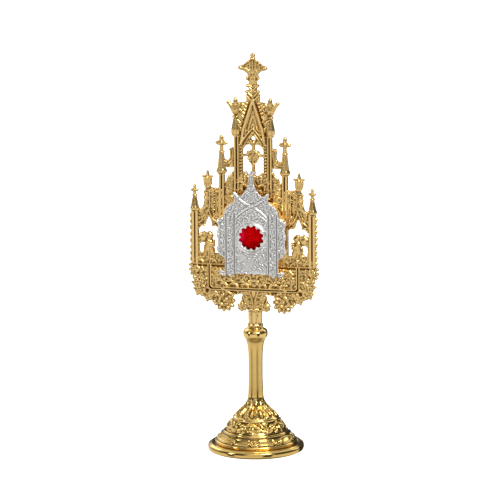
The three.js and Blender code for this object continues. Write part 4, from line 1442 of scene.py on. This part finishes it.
def look_at(thing, place, target, roll=0.0):
    """Puts a light or a camera somewhere and turns it to the target."""
    thing.location = place
    turn = (Vector(target) - Vector(place)).to_track_quat("-Z", "Y").to_matrix().to_4x4()
    thing.rotation_euler = (turn @ Matrix.Rotation(roll, 4, "Z")).to_euler()


def add_light(name, place, target, size, power):
    data = bpy.data.lights.new(name, "AREA")
    data.shape, data.size, data.size_y = "RECTANGLE", *size
    data.energy = power
    lamp = bpy.data.objects.new(name, data)
    bpy.context.collection.objects.link(lamp)
    lamp.visible_camera = False
    look_at(lamp, place, target)


def add_floor(half, finish):
    bm = bmesh.new()
    bmesh.ops.create_grid(bm, x_segments=1, y_segments=1, size=half)
    sheet = new_piece("floor", bm)
    sheet.data.materials.append(finish)
    sheet.visible_glossy = False
    sheet.visible_shadow = False


FLOOR_HALF = 6.0
LIGHTS = (  # name, place and size in metres, watts
    ("key", (1.1, -1.3, 1.5), (0.8, 0.8), 22),
    ("fill", (-1.5, -1.2, 0.9), (0.35, 1.1), 6),
    ("top", (0.2, 0.1, 1.9), (0.7, 0.7), 6),
    ("back_left", (-1.2, 1.5, 1.1), (0.5, 0.9), 2),
    ("back_right", (1.3, 1.4, 1.1), (0.5, 0.9), 2),
)
SENSOR = 36  # millimetres
AIM = Vector((-0.00285, 0, 0.1155))


class RELIQUARY_OT_stage(PieceOperator, bpy.types.Operator):
    """Puts down the floor and sets up the lights, the surroundings and the camera"""

    bl_idname = "reliquary.stage"
    bl_label = "Stage"

    def execute(self, context):
        add_floor(FLOOR_HALF, plain_floor())
        context.scene.world = bpy.data.worlds.new("studio")
        studio_light(context.scene.world)
        middle = Vector((0, 0, CAD_BOX[1].z / 2))
        for name, place, size, power in LIGHTS:
            add_light(name, place, middle, size, power)
        self.add_camera(context.scene)
        context.scene.view_settings.view_transform = "Standard"
        return {"FINISHED"}

    def add_camera(self, scene):
        sizes = self.sizes
        data = bpy.data.cameras.new("camera")
        data.sensor_width = SENSOR
        data.lens = SENSOR * sizes.camera_distance / sizes.field
        data.clip_end = 50
        camera = bpy.data.objects.new("camera", data)
        bpy.context.collection.objects.link(camera)
        level = math.cos(sizes.camera_rise) * sizes.camera_distance
        place = AIM + Vector((
            math.sin(sizes.camera_side) * level,
            -math.cos(sizes.camera_side) * level,
            math.sin(sizes.camera_rise) * sizes.camera_distance,
        ))
        look_at(camera, place, AIM, sizes.camera_roll)
        scene.camera = camera


class RELIQUARY_PT_panel(bpy.types.Panel):
    """Buttons for each piece, in the order they are made"""

    bl_idname = "RELIQUARY_PT_panel"
    bl_label = "Reliquary"
    bl_space_type = "VIEW_3D"
    bl_region_type = "UI"
    bl_category = "Reliquary"

    def draw(self, context):
        for operator in OPERATORS:
            self.layout.operator(operator.bl_idname)


OPERATORS = (
    RELIQUARY_OT_foot,
    RELIQUARY_OT_front,
    RELIQUARY_OT_case,
    RELIQUARY_OT_silver_front,
    RELIQUARY_OT_window,
    RELIQUARY_OT_stage,
)
CLASSES = (ReliquarySizes, ReliquaryColours, *OPERATORS, RELIQUARY_PT_panel)


def register():
    for cls in CLASSES:
        bpy.utils.register_class(cls)
    bpy.types.Scene.reliquary_sizes = PointerProperty(type=ReliquarySizes)
    bpy.types.Scene.reliquary_colours = PointerProperty(type=ReliquaryColours)


def unregister():
    del bpy.types.Scene.reliquary_colours
    del bpy.types.Scene.reliquary_sizes
    for cls in reversed(CLASSES):
        bpy.utils.unregister_class(cls)


def main():
    register()
    bpy.ops.reliquary.foot()
    bpy.ops.reliquary.front()
    bpy.ops.reliquary.case()
    bpy.ops.reliquary.silver_front()
    bpy.ops.reliquary.window()
    bpy.ops.reliquary.stage()


if __name__ == "__main__":
    main()
